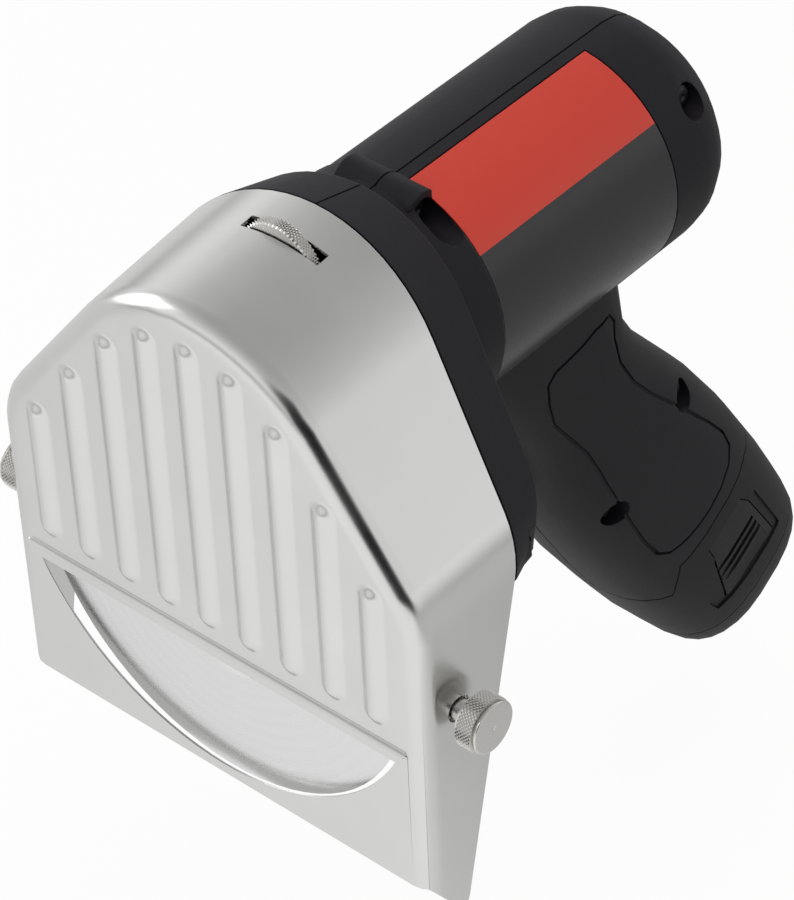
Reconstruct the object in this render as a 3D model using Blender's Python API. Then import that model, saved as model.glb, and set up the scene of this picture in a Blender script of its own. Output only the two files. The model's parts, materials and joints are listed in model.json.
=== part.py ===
# Cordless kebab slicer.
# X runs across the tool, Y from the slicing face back to the motor, Z up.
# The origin is on the blade's axis, in the plane of the crests of the guard's ribs.

import math

import bmesh
import bpy
from mathutils import Matrix, Vector
from mathutils.geometry import convex_hull_2d

MM = 0.001

# Clearances that every fit is worked out from
GAP = 0.3 * MM
CUT = 5.0 * MM

# Guard: one folded steel sheet, ribbed in front, open below and behind
GUARD_HALF = 57.3 * MM
GUARD_DROP = 50.5 * MM
GUARD_HANG = 10.5 * MM
GUARD_HEM_FRONT = 2.7 * MM
GUARD_HEM_ROUND = 1.8 * MM
GUARD_SHEET = 0.9 * MM
GUARD_BEND = 4.4 * MM
GUARD_CROWN_R = 39.0 * MM
GUARD_CROWN_Z = 33.7 * MM
GUARD_SHOULDER = math.radians(38.2)
GUARD_CORNER_R = 20.0 * MM
GUARD_FLARE = 0.06
GUARD_LIFT = 0.04
GUARD_RIM_Y = 25.0 * MM
GUARD_RIM_SLOPE = 0.20
RIB_PITCH = 11.27 * MM
RIB_WIDTH = 6.4 * MM
RIB_HEIGHT = 1.5 * MM
RIB_FOOT_Z = -9.1 * MM
RIB_TOP_DROP = (6.1 * MM, 7.8 * MM, 15.2 * MM, 28.7 * MM, 43.9 * MM)
SLOT_CHORD_Z = -16.9 * MM
SLOT_ARC_R = 54.8 * MM
SLOT_ARC_Z = 6.9 * MM
SLOT_LAND = 0.3 * MM
SLOT_FLARE = 0.6 * MM
BEAD_Z = -13.3 * MM
BEAD_R = 0.9 * MM

# Blade, its dished middle and the stack that clamps it
BLADE_R = 50.0 * MM
BLADE_THICK = 1.5 * MM
BLADE_FRONT = 4.05 * MM
BEVEL_WIDTH = 6.0 * MM
EDGE_THICK = 0.25 * MM
DISH_DEPTH = 4.0 * MM
DISH_R = 17.0 * MM
DISH_RUN = 5.0 * MM
SPIGOT_R = 5.0 * MM
WASHER_R = 11.0 * MM
WASHER_THICK = 1.5 * MM
SCREW_R = 3.0 * MM
SCREW_HEAD_R = 5.5 * MM
SCREW_HEAD_THICK = 1.6 * MM
SCREW_LENGTH = 15.0 * MM
HEX_ACROSS_R = 2.3 * MM
HEX_DEPTH = 1.1 * MM

# Blade shaft and its two bearings
SEAT_R = 12.0 * MM
SEAT_THICK = 2.5 * MM
SHOULDER_R = 7.0 * MM
SHAFT_R = 5.0 * MM
TAIL_R = 4.0 * MM
FRONT_RACE_R = 13.0 * MM
FRONT_RACE_WIDTH = 8.0 * MM
REAR_RACE_R = 9.5 * MM
REAR_RACE_WIDTH = 5.0 * MM

# Gear pair
GEAR_MODULE = 1.0 * MM
GEAR_TEETH = 70
PINION_TEETH = 14
GEAR_WIDTH = 6.0 * MM
BACKLASH = 0.42 * MM
AXLE_RISE = GEAR_MODULE * (GEAR_TEETH + PINION_TEETH) / 2

# Gearbox: front cover and cup
COVER_FRONT = 14.0 * MM
COVER_THICK = 3.0 * MM
BOX_WALL = 1.5 * MM
BOX_FLOOR = 2.2 * MM
BOX_ROOM = 1.9 * MM
HORN_ROOM = 2.0 * MM
BOX_RIM_R = GEAR_MODULE * GEAR_TEETH / 2 + BOX_ROOM + BOX_WALL
BOX_HORN_R = GEAR_MODULE * PINION_TEETH / 2 + HORN_ROOM + BOX_WALL
POST_R = 3.4 * MM
COVER_SCREW_R = 1.5 * MM
COVER_HEAD_R = 2.8 * MM
COVER_HEAD_THICK = 1.6 * MM

# Bracket that the thumb screws thread into
BRACKET_THICK = 1.8 * MM
BRACKET_RING_R = 19.0 * MM
BRACKET_HOLE_R = 13.5 * MM
BRACKET_ARM = 7.5 * MM
BRACKET_SCREW_X = 30.0 * MM
EAR_THICK = 3.0 * MM
EAR_Y = 11.8 * MM
EAR_Z = -4.6 * MM
EAR_FRONT = 4.2 * MM
EAR_TAIL = 6.0 * MM
NUT_NECK = 3.5 * MM
NUT_HALF = 4.0 * MM
NUT_LIP = 1.0 * MM

# Thumb screws
THUMB_R = 2.5 * MM
THUMB_COLLAR_R = 4.6 * MM
THUMB_COLLAR_THICK = 0.6 * MM
THUMB_NECK = 0.4 * MM
THUMB_HEAD_R = 6.3 * MM
THUMB_HEAD_LENGTH = 5.4 * MM
THUMB_REACH = 5.8 * MM
THUMB_BACKED_OUT = 2.0 * MM
THUMB_CHAMFER = 0.7 * MM
KNURL_DEPTH = 0.35 * MM
KNURL_COUNT = 24

# Thickness wheel and the stud that it turns on
WHEEL_R = 10.0 * MM
WHEEL_THICK = 2.9 * MM
WHEEL_Y = 28.6 * MM
WHEEL_Z = 68.2 * MM
WHEEL_SLOT_LENGTH = 20.0 * MM
WHEEL_SLOT_X = 1.0 * MM
STUD_R = 2.5 * MM
STUD_FRONT = 24.4 * MM
STUD_BACK = 41.5 * MM
STUD_BOSS_R = 5.5 * MM

# Housing: flange, motor barrel and pistol grip in two halves
WALL = 2.2 * MM
FLANGE_BACK_Y = 44.4 * MM
FLANGE_BACK_SLOPE = 0.22
FLANGE_BACK_Z = 31.0 * MM
FLANGE_FOOT_Y = 38.8 * MM
FLANGE_FOOT_SLOPE = 0.5
FLANGE_TAPER = 3.0 * MM
FLANGE_ROUND = 1.2 * MM
FLANGE_FOOT_R = 42.8 * MM
SPIGOT_INSET = 2.0 * MM
SPIGOT_LENGTH = 5.5 * MM
SPIGOT_WALL = 2.0 * MM
BARREL_R = 28.1 * MM
BARREL_BACK = 145.8 * MM
BARREL_ROUND = 14.0 * MM
BARREL_WALL = 2.5 * MM
BARREL_FRONT = FLANGE_FOOT_Y - WALL / 2
COLLAR_STEP = 0.6 * MM
COLLAR_BACK = 63.8 * MM
TOP_BOSS_Y = 61.0 * MM
TOP_BOSS_SINK = 3.7 * MM
TOP_BOSS_Z = AXLE_RISE + BARREL_R - TOP_BOSS_SINK
TOP_BOSS_R = 5.2 * MM
TOP_BOSS_HALF = 10.0 * MM

# Grip: a straight raked axis, with shares of depth and half width at each station
GRIP_RAKE = math.radians(33.0)
GRIP_TOP_Y = 94.7 * MM
GRIP_TOP_Z = 13.6 * MM
GRIP_LENGTH = 150.2 * MM
GRIP_DEPTH = 27.5 * MM
GRIP_HALF = 22.0 * MM
GRIP_SQUARE = 2.8
GRIP_WALL = 2.1 * MM
GRIP_SHARES = (
    (-0.196, -0.84, 1.30, 0.74),
    (-0.062, -0.82, 1.20, 0.76),
    (0.062, -0.78, 1.04, 0.79),
    (0.165, -0.78, 0.71, 0.83),
    (0.248, -0.84, 0.685, 0.87),
    (0.341, -0.95, 0.76, 0.92),
    (0.444, -1.00, 0.84, 0.97),
    (0.579, -1.025, 0.885, 1.00),
    (0.733, -1.00, 0.88, 1.00),
    (0.826, -0.97, 0.855, 0.985),
    (0.895, -0.925, 0.835, 0.95),
    (0.935, -0.90, 0.82, 0.90),
    (0.963, -0.87, 0.79, 0.85),
    (0.987, -0.80, 0.74, 0.78),
    (1.000, -0.74, 0.685, 0.69),
)
SPLIT_SHARE = 0.6385
SPLIT_STEP_SHARE = 0.0679
SPLIT = GRIP_LENGTH * SPLIT_SHARE
SPLIT_STEP = GRIP_LENGTH * SPLIT_STEP_SHARE
SPLIT_SHARES = (
    (0.30, 2.0), (0.30, 0.78), (0.0, 0.54), (0.04, -0.55), (1.0, -0.75), (0.72, -1.02), (0.72, -2.0),
)
INLAY_GROOVE = 0.7 * MM
INLAY_DEPTH = 0.6 * MM
INLAY_SHARES = (
    (0.081, 0.499), (0.063, 0.330), (0.049, 0.108), (0.028, -0.150), (0.034, -0.272), (0.069, -0.367),
    (0.115, -0.445), (0.177, -0.432), (0.224, -0.425), (0.276, -0.455), (0.324, -0.500), (0.367, -0.530),
    (0.435, -0.580), (0.509, -0.614), (0.559, -0.610), (0.585, -0.530), (0.599, -0.327), (0.606, -0.041),
    (0.600, 0.176), (0.589, 0.370), (0.571, 0.500), (0.540, 0.540), (0.483, 0.503), (0.423, 0.446),
    (0.349, 0.372), (0.284, 0.300), (0.225, 0.262), (0.170, 0.291), (0.125, 0.400), (0.103, 0.500),
)

# Trigger and switch
TRIGGER_HALF = 7.0 * MM
TRIGGER_TOP_SHARE = 0.0799
TRIGGER_LENGTH_SHARE = 0.1864
TRIGGER_TOP = GRIP_LENGTH * TRIGGER_TOP_SHARE
TRIGGER_LENGTH = GRIP_LENGTH * TRIGGER_LENGTH_SHARE
TRIGGER_FRONT = 32.0 * MM
TRIGGER_WAIST = 3.5 * MM
TRIGGER_BACK = 15.0 * MM
TRIGGER_ROUND = 2.0 * MM
TRIGGER_TRAVEL = 6.0 * MM
SWITCH_HALF = 8.0 * MM
SWITCH_LENGTH_SHARE = 0.1598
SWITCH_LENGTH = GRIP_LENGTH * SWITCH_LENGTH_SHARE
SWITCH_DEPTH = 16.0 * MM
SWITCH_RIB_SHARES = (0.15, 0.75)
PLUNGER_R = 2.5 * MM

# Battery pack and the contacts above it
CELL_R = 9.0 * MM
CELL_LENGTH_SHARE = 0.43276
CELL_FOOT_SHARE = 0.09987
CELL_LENGTH = GRIP_LENGTH * CELL_LENGTH_SHARE
CELL_FOOT = GRIP_LENGTH * CELL_FOOT_SHARE
CELL_BASE = GRIP_LENGTH - CELL_FOOT
CELL_STEP = 18.3 * MM
CELL_NIPPLE_R = 3.0 * MM
CELL_NIPPLE = 0.8 * MM
STICK_HALF = 19.5 * MM
STICK_DEPTH = 21.5 * MM
STICK_WALL = 1.0 * MM
STICK_SQUARE = 3.6
STICK_SLIP = 0.35 * MM
CELL_HEADROOM = 1.6 * MM
STICK_TOP = CELL_BASE - CELL_LENGTH - CELL_HEADROOM - STICK_WALL
TOWER_HALF = 9.0 * MM
TOWER_DEPTH = 5.0 * MM
TOWER_HEIGHT = 6.0 * MM
CONTACT_PITCH = 5.5 * MM
CONTACT_THICK = 0.8 * MM
CONTACT_HEIGHT = 7.0 * MM
BUTTON_DROP_SHARE = 0.0433
BUTTON_LENGTH_SHARE = 0.1598
BUTTON_TOP = SPLIT + GRIP_LENGTH * BUTTON_DROP_SHARE
BUTTON_LENGTH = GRIP_LENGTH * BUTTON_LENGTH_SHARE
BUTTON_HALF = 12.0 * MM
BUTTON_THICK = 1.2 * MM
BUTTON_SINK = 0.4 * MM
BUTTON_GROOVE = 0.7 * MM
BUTTON_TRAVEL = 0.8 * MM
BUTTON_SHARES = ((0.0, 0.52), (0.0, -0.63), (0.2, -0.65), (0.98, -0.98), (1.04, 0.67), (0.2, 0.65))
BUTTON_GROOVE_SHARES = ((0.42, 0.48), (0.54, 0.61), (0.66, 0.73), (0.79, 1.2))
FRAME_SHARES = ((0.2, 0.9), (0.2, -0.67), (0.82, -1.34), (1.04, -1.28), (1.1, 0.88))
FRAME_DEPTH = 0.6 * MM

# Motor and its speed controller
MOTOR_R = 18.3 * MM
MOTOR_LENGTH = 60.0 * MM
MOTOR_NOSE_R = 7.0 * MM
MOTOR_NOSE = 1.8 * MM
MOTOR_CAP = 9.0 * MM
ROTOR_R = 2.5 * MM
ROTOR_FRONT = 12.0 * MM
BOARD_R = MOTOR_R
BOARD_THICK = 1.6 * MM
BOARD_GAP = 9.0 * MM
RIB_THICK = 2.0 * MM
RIB_SHARES = (0.16, 0.80)

# Case screws, driven from the right half into posts of the left half
CASE_SCREW_R = 1.5 * MM
CASE_HEAD_R = 2.8 * MM
CASE_HEAD_THICK = 2.2 * MM
RECESS_R = 3.5 * MM
POST_WALL = 1.6 * MM
CASE_SCREW_GRIP = 6.5 * MM

# Label area on the right of the barrel, left bare
LABEL_FRONT = 64.2 * MM
LABEL_BACK = 121.2 * MM
LABEL_THICK = 0.25 * MM
LABEL_SINK = 0.5 * MM
LABEL_LOW = math.radians(-35.0)
LABEL_HIGH = math.radians(83.0)

STEEL = ("satin_steel", (0.72, 0.72, 0.71), 0.30, 1.0)
POLISHED = ("polished_steel", (0.80, 0.80, 0.79), 0.12, 1.0)
BLACK = ("black_plastic", (0.028, 0.026, 0.031), 0.55, 0.0)
NYLON = ("white_nylon", (0.70, 0.69, 0.64), 0.45, 0.0)
ALLOY = ("cast_alloy", (0.52, 0.53, 0.54), 0.40, 1.0)
CELL = ("cell_sleeve", (0.05, 0.22, 0.38), 0.35, 0.0)
BRASS = ("contact_brass", (0.75, 0.56, 0.26), 0.3, 1.0)
BOARD = ("circuit_board", (0.03, 0.19, 0.08), 0.45, 0.0)
LABEL = ("label_film", (0.60, 0.06, 0.04), 0.4, 0.0)


def clear_scene():
    for thing in list(bpy.data.objects):
        bpy.data.objects.remove(thing, do_unlink=True)


def finish_material(spec):
    name, colour, roughness, metallic = spec
    material = bpy.data.materials.get(name) or bpy.data.materials.new(name)
    material.use_nodes = True
    shader = material.node_tree.nodes["Principled BSDF"]
    shader.inputs["Base Color"].default_value = (*colour, 1.0)
    shader.inputs["Roughness"].default_value = roughness
    shader.inputs["Metallic"].default_value = metallic
    return material


def make(name, bm, spec=BLACK, origin=(0, 0, 0)):
    """Turns a bmesh built in world places into an object whose origin is on its joint's axis."""
    bmesh.ops.recalc_face_normals(bm, faces=bm.faces)
    bmesh.ops.connect_verts_nonplanar(bm, angle_limit=math.radians(0.01), faces=bm.faces)
    bmesh.ops.translate(bm, verts=bm.verts, vec=-Vector(origin))
    mesh = bpy.data.meshes.new(name)
    bm.to_mesh(mesh)
    bm.free()
    thing = bpy.data.objects.new(name, mesh)
    thing.location = origin
    thing.data.materials.append(finish_material(spec))
    bpy.context.collection.objects.link(thing)
    mesh.shade_smooth()
    mesh.set_sharp_from_angle(angle=math.radians(32))
    return thing


def is_closed(mesh):
    bm = bmesh.new()
    bm.from_mesh(mesh)
    closed = all(len(edge.link_faces) == 2 for edge in bm.edges)
    bm.free()
    return closed


def combine(thing, tool, operation="DIFFERENCE"):
    """Applies one Boolean, with the second solver where the first leaves an open edge."""
    bpy.context.view_layer.update()
    step = thing.modifiers.new("cut", "BOOLEAN")
    step.object = tool
    step.operation = operation
    for solver in ("EXACT", "MANIFOLD"):
        step.solver = solver
        depsgraph = bpy.context.evaluated_depsgraph_get()
        mesh = bpy.data.meshes.new_from_object(thing.evaluated_get(depsgraph), depsgraph=depsgraph)
        if is_closed(mesh):
            break
    thing.modifiers.clear()
    old = thing.data
    thing.data = mesh
    mesh.name = thing.name
    bpy.data.meshes.remove(old)
    bpy.data.objects.remove(tool, do_unlink=True)
    mesh.shade_smooth()
    mesh.set_sharp_from_angle(angle=math.radians(32))
    return thing


def loft(rings, ends="fill", loop=False):
    """Skins rings of equal point counts, and closes both ends or joins last to first."""
    bm = bmesh.new()
    levels = [[bm.verts.new(point) for point in ring] for ring in rings]
    pairs = list(zip(levels, levels[1:]))
    if loop:
        pairs.append((levels[-1], levels[0]))
    for low, high in pairs:
        count = max(len(low), len(high))
        for i in range(count):
            j = (i + 1) % count
            if len(low) == 1:
                bm.faces.new((low[0], high[j], high[i]))
            elif len(high) == 1:
                bm.faces.new((low[i], low[j], high[0]))
            else:
                bm.faces.new((low[i], low[j], high[j], high[i]))
    if ends == "fill" and not loop:
        for level in (levels[0], levels[-1]):
            if len(level) > 2:
                bm.faces.new(level)
    return bm


def circle(radius, steps, centre=(0, 0), start=0.0):
    return [
        (
            centre[0] + radius * math.cos(start + 2 * math.pi * i / steps),
            centre[1] + radius * math.sin(start + 2 * math.pi * i / steps),
        )
        for i in range(steps)
    ]


def prism_y(outline, front, back):
    """Extrudes an outline of (x, z) points along Y."""
    return loft([[(x, front, z) for x, z in outline], [(x, back, z) for x, z in outline]])


def prism_x(outline, left, right):
    """Extrudes an outline of (y, z) points along X."""
    return loft([[(left, y, z) for y, z in outline], [(right, y, z) for y, z in outline]])


def block(low, high):
    x0, y0, z0 = low
    x1, y1, z1 = high
    return prism_y([(x0, z0), (x1, z0), (x1, z1), (x0, z1)], y0, y1)


def turned(profile, steps, place=Matrix.Identity(4), loop=False):
    """Revolves (along, radius) points about Y, then places the result."""
    rings = []
    for along, radius in profile:
        if radius == 0:
            rings.append([(0, along, 0)])
        else:
            rings.append([(x, along, z) for x, z in circle(radius, steps)])
    bm = loft(rings, loop=loop)
    bmesh.ops.transform(bm, matrix=place, verts=bm.verts)
    return bm


def at(x, y, z):
    return Matrix.Translation((x, y, z))


def across(x, y, z):
    """Places a turned piece so that its Y runs along +X from the given point."""
    return at(x, y, z) @ Matrix.Rotation(-math.pi / 2, 4, "Z")


def mirror_x(bm):
    bmesh.ops.transform(bm, matrix=Matrix.Diagonal((-1, 1, 1, 1)), verts=bm.verts)
    return bm


def rod(name, radius, centre, start, end, steps=20):
    """A cutter or pin along Y between two depths."""
    x, z = centre
    return make(name, turned([(start, radius), (end, radius)], steps, at(x, 0, z)))


def rod_across(name, radius, centre, start, end, steps=20):
    """A cutter or pin along X between two widths."""
    y, z = centre
    bm = turned([(0, radius), (end - start, radius)], steps, across(start, y, z))
    return make(name, bm)


def grip_point(along, depth, x=0.0):
    """World place of a point given by its length down the grip and its depth behind the axis."""
    sine = math.sin(GRIP_RAKE)
    cosine = math.cos(GRIP_RAKE)
    y = GRIP_TOP_Y + along * sine + depth * cosine
    z = GRIP_TOP_Z - along * cosine + depth * sine
    return Vector((x, y, z))


def grip_matrix():
    """Frame with X across, Y down the grip and Z behind its axis."""
    down = grip_point(1, 0) - grip_point(0, 0)
    behind = grip_point(0, 1) - grip_point(0, 0)
    side = Vector((1, 0, 0))
    turn = Matrix((side, down, behind)).transposed().to_4x4()
    return Matrix.Translation(grip_point(0, 0)) @ turn


def in_grip(bm):
    bmesh.ops.transform(bm, matrix=grip_matrix(), verts=bm.verts)
    return bm


def grip_ring(along, front, rear, half, square=GRIP_SQUARE):
    """One rounded section of the grip, squarer than an ellipse."""
    ring = []
    steps = 32
    for i in range(steps):
        angle = 2 * math.pi * (i + 0.5) / steps
        c = math.cos(angle)
        s = math.sin(angle)
        x = half * math.copysign(abs(c) ** (2 / square), c)
        reach = rear if s > 0 else -front
        depth = reach * math.copysign(abs(s) ** (2 / square), s)
        ring.append(grip_point(along, depth, x))
    return ring


def grip_station(along):
    """Front, rear and half width of the grip at any length along it."""
    share = along / GRIP_LENGTH
    for low, high in zip(GRIP_SHARES, GRIP_SHARES[1:]):
        if share <= high[0]:
            break
    mix = (share - low[0]) / (high[0] - low[0])
    front, rear, half = (a + (b - a) * mix for a, b in zip(low[1:], high[1:]))
    return front * GRIP_DEPTH, rear * GRIP_DEPTH, half * GRIP_HALF


def grip_loft(low, high, inset=0.0):
    """Skins the grip between two lengths along it, inset for a cavity."""
    stops = [low]
    stops += [share[0] * GRIP_LENGTH for share in GRIP_SHARES if low < share[0] * GRIP_LENGTH < high]
    stops.append(high)
    rings = []
    for along in stops:
        front, rear, half = grip_station(along)
        rings.append(grip_ring(along, front + inset, rear - inset, half - inset))
    return loft(rings)


def grip_prism(low, high, depth, half):
    """A straight length of the battery stick's squarer section."""
    return loft([grip_ring(along, -depth, depth, half, STICK_SQUARE) for along in (low, high)])


def grip_block(low, high):
    """A box given across, along and behind in the grip's own frame."""
    return in_grip(block(low, high))


def grip_slab(outline, half):
    """Extrudes an outline of (along, behind) points across the tool, both ways from the middle."""
    return in_grip(loft([[(x, along, behind) for along, behind in outline] for x in (-half, half)]))


def grown(outline, margin):
    """Moves every side of a closed outline outward by a margin."""
    points = [Vector(point) for point in outline]
    count = len(points)
    area = sum(points[i - 1].cross(points[i]) for i in range(count))
    reach = margin if area > 0 else -margin
    moved = []
    for i in range(count):
        before = (points[i] - points[i - 1]).normalized()
        after = (points[(i + 1) % count] - points[i]).normalized()
        normal = Vector((before.y + after.y, -before.x - after.x))
        moved.append(tuple(points[i] + normal * reach / (1 + before.dot(after))))
    return moved


def guard_outline(inset=0.0, drop=GUARD_DROP):
    """Guard's outline of (x, z) points: straight sides, sloping shoulders, round crown."""
    half = GUARD_HALF - inset
    crown = GUARD_CROWN_R - inset
    normal = (math.cos(GUARD_SHOULDER), math.sin(GUARD_SHOULDER))
    reach = crown + GUARD_CROWN_Z * normal[1]
    corner_z = (reach - normal[0] * half) / normal[1]
    radius = GUARD_CORNER_R - inset
    tangent = radius * math.tan(GUARD_SHOULDER / 2)
    centre = (half - radius, corner_z - tangent)
    right = [(half, -drop)]
    for i in range(6):
        angle = GUARD_SHOULDER * i / 5
        right.append((centre[0] + radius * math.cos(angle), centre[1] + radius * math.sin(angle)))
    for i in range(11):
        angle = GUARD_SHOULDER + (math.pi / 2 - GUARD_SHOULDER) * i / 10
        right.append((crown * math.cos(angle), GUARD_CROWN_Z + crown * math.sin(angle)))
    left = [(-x, z) for x, z in reversed(right[:-1])]
    return right + left


def guard_ring(inset, y, drop):
    """The outline at one depth: the walls flare outward and rise a little towards the rim."""
    run = y - RIB_HEIGHT
    return [(x, y, z + GUARD_LIFT * run) for x, z in guard_outline(inset - GUARD_FLARE * run, drop)]


def guard_solid(inset, front, bend, drop, back):
    """The guard's outer or inner form, with its front edges bent round."""
    rings = []
    for i in range(5):
        angle = math.pi / 2 * i / 4
        y = front + bend * (1 - math.cos(angle))
        rings.append(guard_ring(inset + bend * (1 - math.sin(angle)), y, drop))
    rings.append(guard_ring(inset, back, drop))
    return loft(rings)


def rim_y(z):
    """Depth of the guard's sloping rear rim at a height."""
    return GUARD_RIM_Y + GUARD_RIM_SLOPE * z


def wall_x(y):
    """Half width of the guard's outer face at a depth."""
    return GUARD_HALF + GUARD_FLARE * (y - RIB_HEIGHT)


def hem_cutter():
    """What lies below the plate's lower edge and the side walls' slanting hem."""
    reach = GUARD_HALF * 3
    low = -GUARD_DROP - GUARD_HANG
    bend = GUARD_HEM_ROUND
    end = rim_y(low) - bend / 2
    outline = [
        (-reach, -GUARD_DROP), (GUARD_HEM_FRONT, -GUARD_DROP), (end - bend, low + bend / 8),
        (end, low), (end + bend / 2, low + bend / 3), (rim_y(low + bend), low + bend),
        (reach, low + bend), (reach, -reach), (-reach, -reach),
    ]
    return make("hem", prism_x(outline, -reach, reach))


def slope_cutter(name, base_y, slope, reach, towards_back=True):
    """A wedge that removes what lies behind, or before, a sloping plane."""
    low = -reach
    high = reach
    far = base_y + reach if towards_back else base_y - reach
    outline = [
        (base_y + slope * low, low),
        (base_y + slope * high, high),
        (far, high),
        (far, low),
    ]
    return make(name, prism_x(outline, -reach, reach))


def rib(x, foot, top):
    """One raised rib with round ends and sloping flanks."""
    levels = ((RIB_WIDTH / 2, 0.0), (RIB_WIDTH / 2 - RIB_HEIGHT / 2, RIB_HEIGHT * 0.7))
    crest = (RIB_WIDTH / 2 - RIB_HEIGHT * 1.1, RIB_HEIGHT)
    rings = []
    start = (RIB_WIDTH / 2, -GUARD_SHEET / 2)
    for radius, rise in (start, *levels, crest):
        ring = []
        for end, centre in ((0, top - RIB_WIDTH / 2), (1, foot + RIB_WIDTH / 2)):
            for i in range(6):
                angle = math.pi * (end + i / 5)
                ring.append((
                    x + radius * math.cos(angle),
                    RIB_HEIGHT - rise,
                    centre + radius * math.sin(angle),
                ))
        rings.append(ring)
    return loft(rings)


def build_guard():
    reach = GUARD_HALF * 3
    inner_front = RIB_HEIGHT + GUARD_SHEET
    inner_bend = GUARD_BEND - GUARD_SHEET
    back = rim_y(GUARD_CROWN_Z + 2 * GUARD_CROWN_R)
    drop = GUARD_DROP + GUARD_HANG + 2 * CUT
    shell = make("guard_shell", guard_solid(0.0, RIB_HEIGHT, GUARD_BEND, drop, back), STEEL)
    hollow = guard_solid(GUARD_SHEET, inner_front, inner_bend, drop + CUT, back + CUT)
    combine(shell, make("hollow", hollow))
    combine(shell, slope_cutter("rim_cut", GUARD_RIM_Y, GUARD_RIM_SLOPE, reach))
    combine(shell, hem_cutter())
    crown_top = GUARD_CROWN_Z + GUARD_CROWN_R
    for k in range(-4, 5):
        top = crown_top - RIB_TOP_DROP[abs(k)]
        combine(shell, make("rib", rib(k * RIB_PITCH, RIB_FOOT_Z, top)), "UNION")
    bead_half = GUARD_HALF - GUARD_BEND
    bead = make("bead", turned(
        [(0, 0), (0, BEAD_R * 0.6), (BEAD_R, BEAD_R), (2 * bead_half - BEAD_R, BEAD_R),
         (2 * bead_half, BEAD_R * 0.6), (2 * bead_half, 0)],
        10, across(-bead_half, RIB_HEIGHT + BEAD_R / 2, BEAD_Z)))
    combine(shell, bead, "UNION")
    steps = 32
    lowest = math.asin((SLOT_ARC_Z - SLOT_CHORD_Z) / SLOT_ARC_R)
    arc = []
    for i in range(steps + 1):
        angle = -lowest - (math.pi - 2 * lowest) * i / steps
        arc.append((SLOT_ARC_R * math.cos(angle), SLOT_ARC_Z + SLOT_ARC_R * math.sin(angle)))
    levels = (
        (RIB_HEIGHT - CUT, 0.0), (RIB_HEIGHT + SLOT_LAND, 0.0), (inner_front, SLOT_FLARE),
        (inner_front + SLOT_FLARE, 2 * SLOT_FLARE),
    )
    slot = loft([[(x, y, z) for x, z in grown(arc, margin)] for y, margin in levels])
    combine(shell, make("slot", slot))
    slot_half = WHEEL_THICK / 2 + GAP
    wheel_mid = WHEEL_Y + WHEEL_THICK / 2
    wheel_slot = block(
        (WHEEL_SLOT_X - WHEEL_SLOT_LENGTH / 2, wheel_mid - slot_half, WHEEL_Z - GUARD_SHEET),
        (WHEEL_SLOT_X + WHEEL_SLOT_LENGTH / 2, wheel_mid + slot_half, crown_top + 2 * CUT))
    combine(shell, make("wheel_slot", wheel_slot))
    hole = THUMB_R + 2 * GAP
    for side in (-1, 1):
        x0, x1 = sorted((side * (GUARD_HALF - GUARD_SHEET - CUT / 2), side * (GUARD_HALF + CUT)))
        combine(shell, rod_across("thumb_hole", hole, (EAR_Y, EAR_Z), x0, x1, 20))
    return shell


def build_blade():
    web_front = BLADE_FRONT + DISH_DEPTH
    web_back = web_front + BLADE_THICK
    bore = SPIGOT_R + GAP
    profile = [
        (web_front, bore),
        (web_front, DISH_R),
        (BLADE_FRONT, DISH_R + DISH_RUN),
        (BLADE_FRONT, BLADE_R),
        (BLADE_FRONT + EDGE_THICK, BLADE_R),
        (BLADE_FRONT + BLADE_THICK, BLADE_R - BEVEL_WIDTH),
        (BLADE_FRONT + BLADE_THICK, DISH_R + DISH_RUN),
        (web_back, DISH_R),
        (web_back, bore),
    ]
    make("circular_blade", turned(profile, 72, loop=True), POLISHED)
    washer_back = web_front - GAP
    washer_front = washer_back - WASHER_THICK
    washer = [
        (washer_front, SCREW_R + GAP),
        (washer_front, WASHER_R - WASHER_THICK / 2),
        (washer_front + WASHER_THICK / 2, WASHER_R),
        (washer_back, WASHER_R),
        (washer_back, SCREW_R + GAP),
    ]
    make("blade_washer", turned(washer, 32, loop=True), STEEL)
    head_back = washer_front - GAP
    head_front = head_back - SCREW_HEAD_THICK
    screw = [
        (head_front, 0),
        (head_front, SCREW_HEAD_R - SCREW_HEAD_THICK / 3),
        (head_front + SCREW_HEAD_THICK / 3, SCREW_HEAD_R),
        (head_back, SCREW_HEAD_R),
        (head_back, SCREW_R),
        (head_back + SCREW_LENGTH, SCREW_R),
        (head_back + SCREW_LENGTH, 0),
    ]
    piece = make("blade_screw", turned(screw, 20), STEEL)
    socket = prism_y(circle(HEX_ACROSS_R, 6), head_front - CUT, head_front + HEX_DEPTH)
    combine(piece, make("hex", socket))
    return web_back, head_back + SCREW_LENGTH


def build_shaft(web_back, screw_end):
    seat_front = web_back + GAP
    seat_back = seat_front + SEAT_THICK
    race_front = COVER_FRONT + COVER_THICK / 2
    gear_front = race_front + FRONT_RACE_WIDTH + 3 * GAP
    gear_back = gear_front + GEAR_WIDTH
    tail_front = gear_back + GAP
    bore_end = screw_end + GAP
    spigot_front = web_back - BLADE_THICK + GAP
    profile = [
        (bore_end, 0),
        (bore_end, SCREW_R + GAP),
        (spigot_front, SCREW_R + GAP),
        (spigot_front, SPIGOT_R),
        (seat_front, SPIGOT_R),
        (seat_front, SEAT_R),
        (seat_back, SEAT_R),
        (seat_back, SHOULDER_R),
        (race_front - GAP, SHOULDER_R),
        (race_front - GAP, SHAFT_R),
        (tail_front, SHAFT_R),
        (tail_front, TAIL_R),
        (tail_front + GAP + REAR_RACE_WIDTH, TAIL_R),
        (tail_front + GAP + REAR_RACE_WIDTH, 0),
    ]
    make("blade_shaft", turned(profile, 24), STEEL)
    return race_front, gear_front, gear_back


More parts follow.
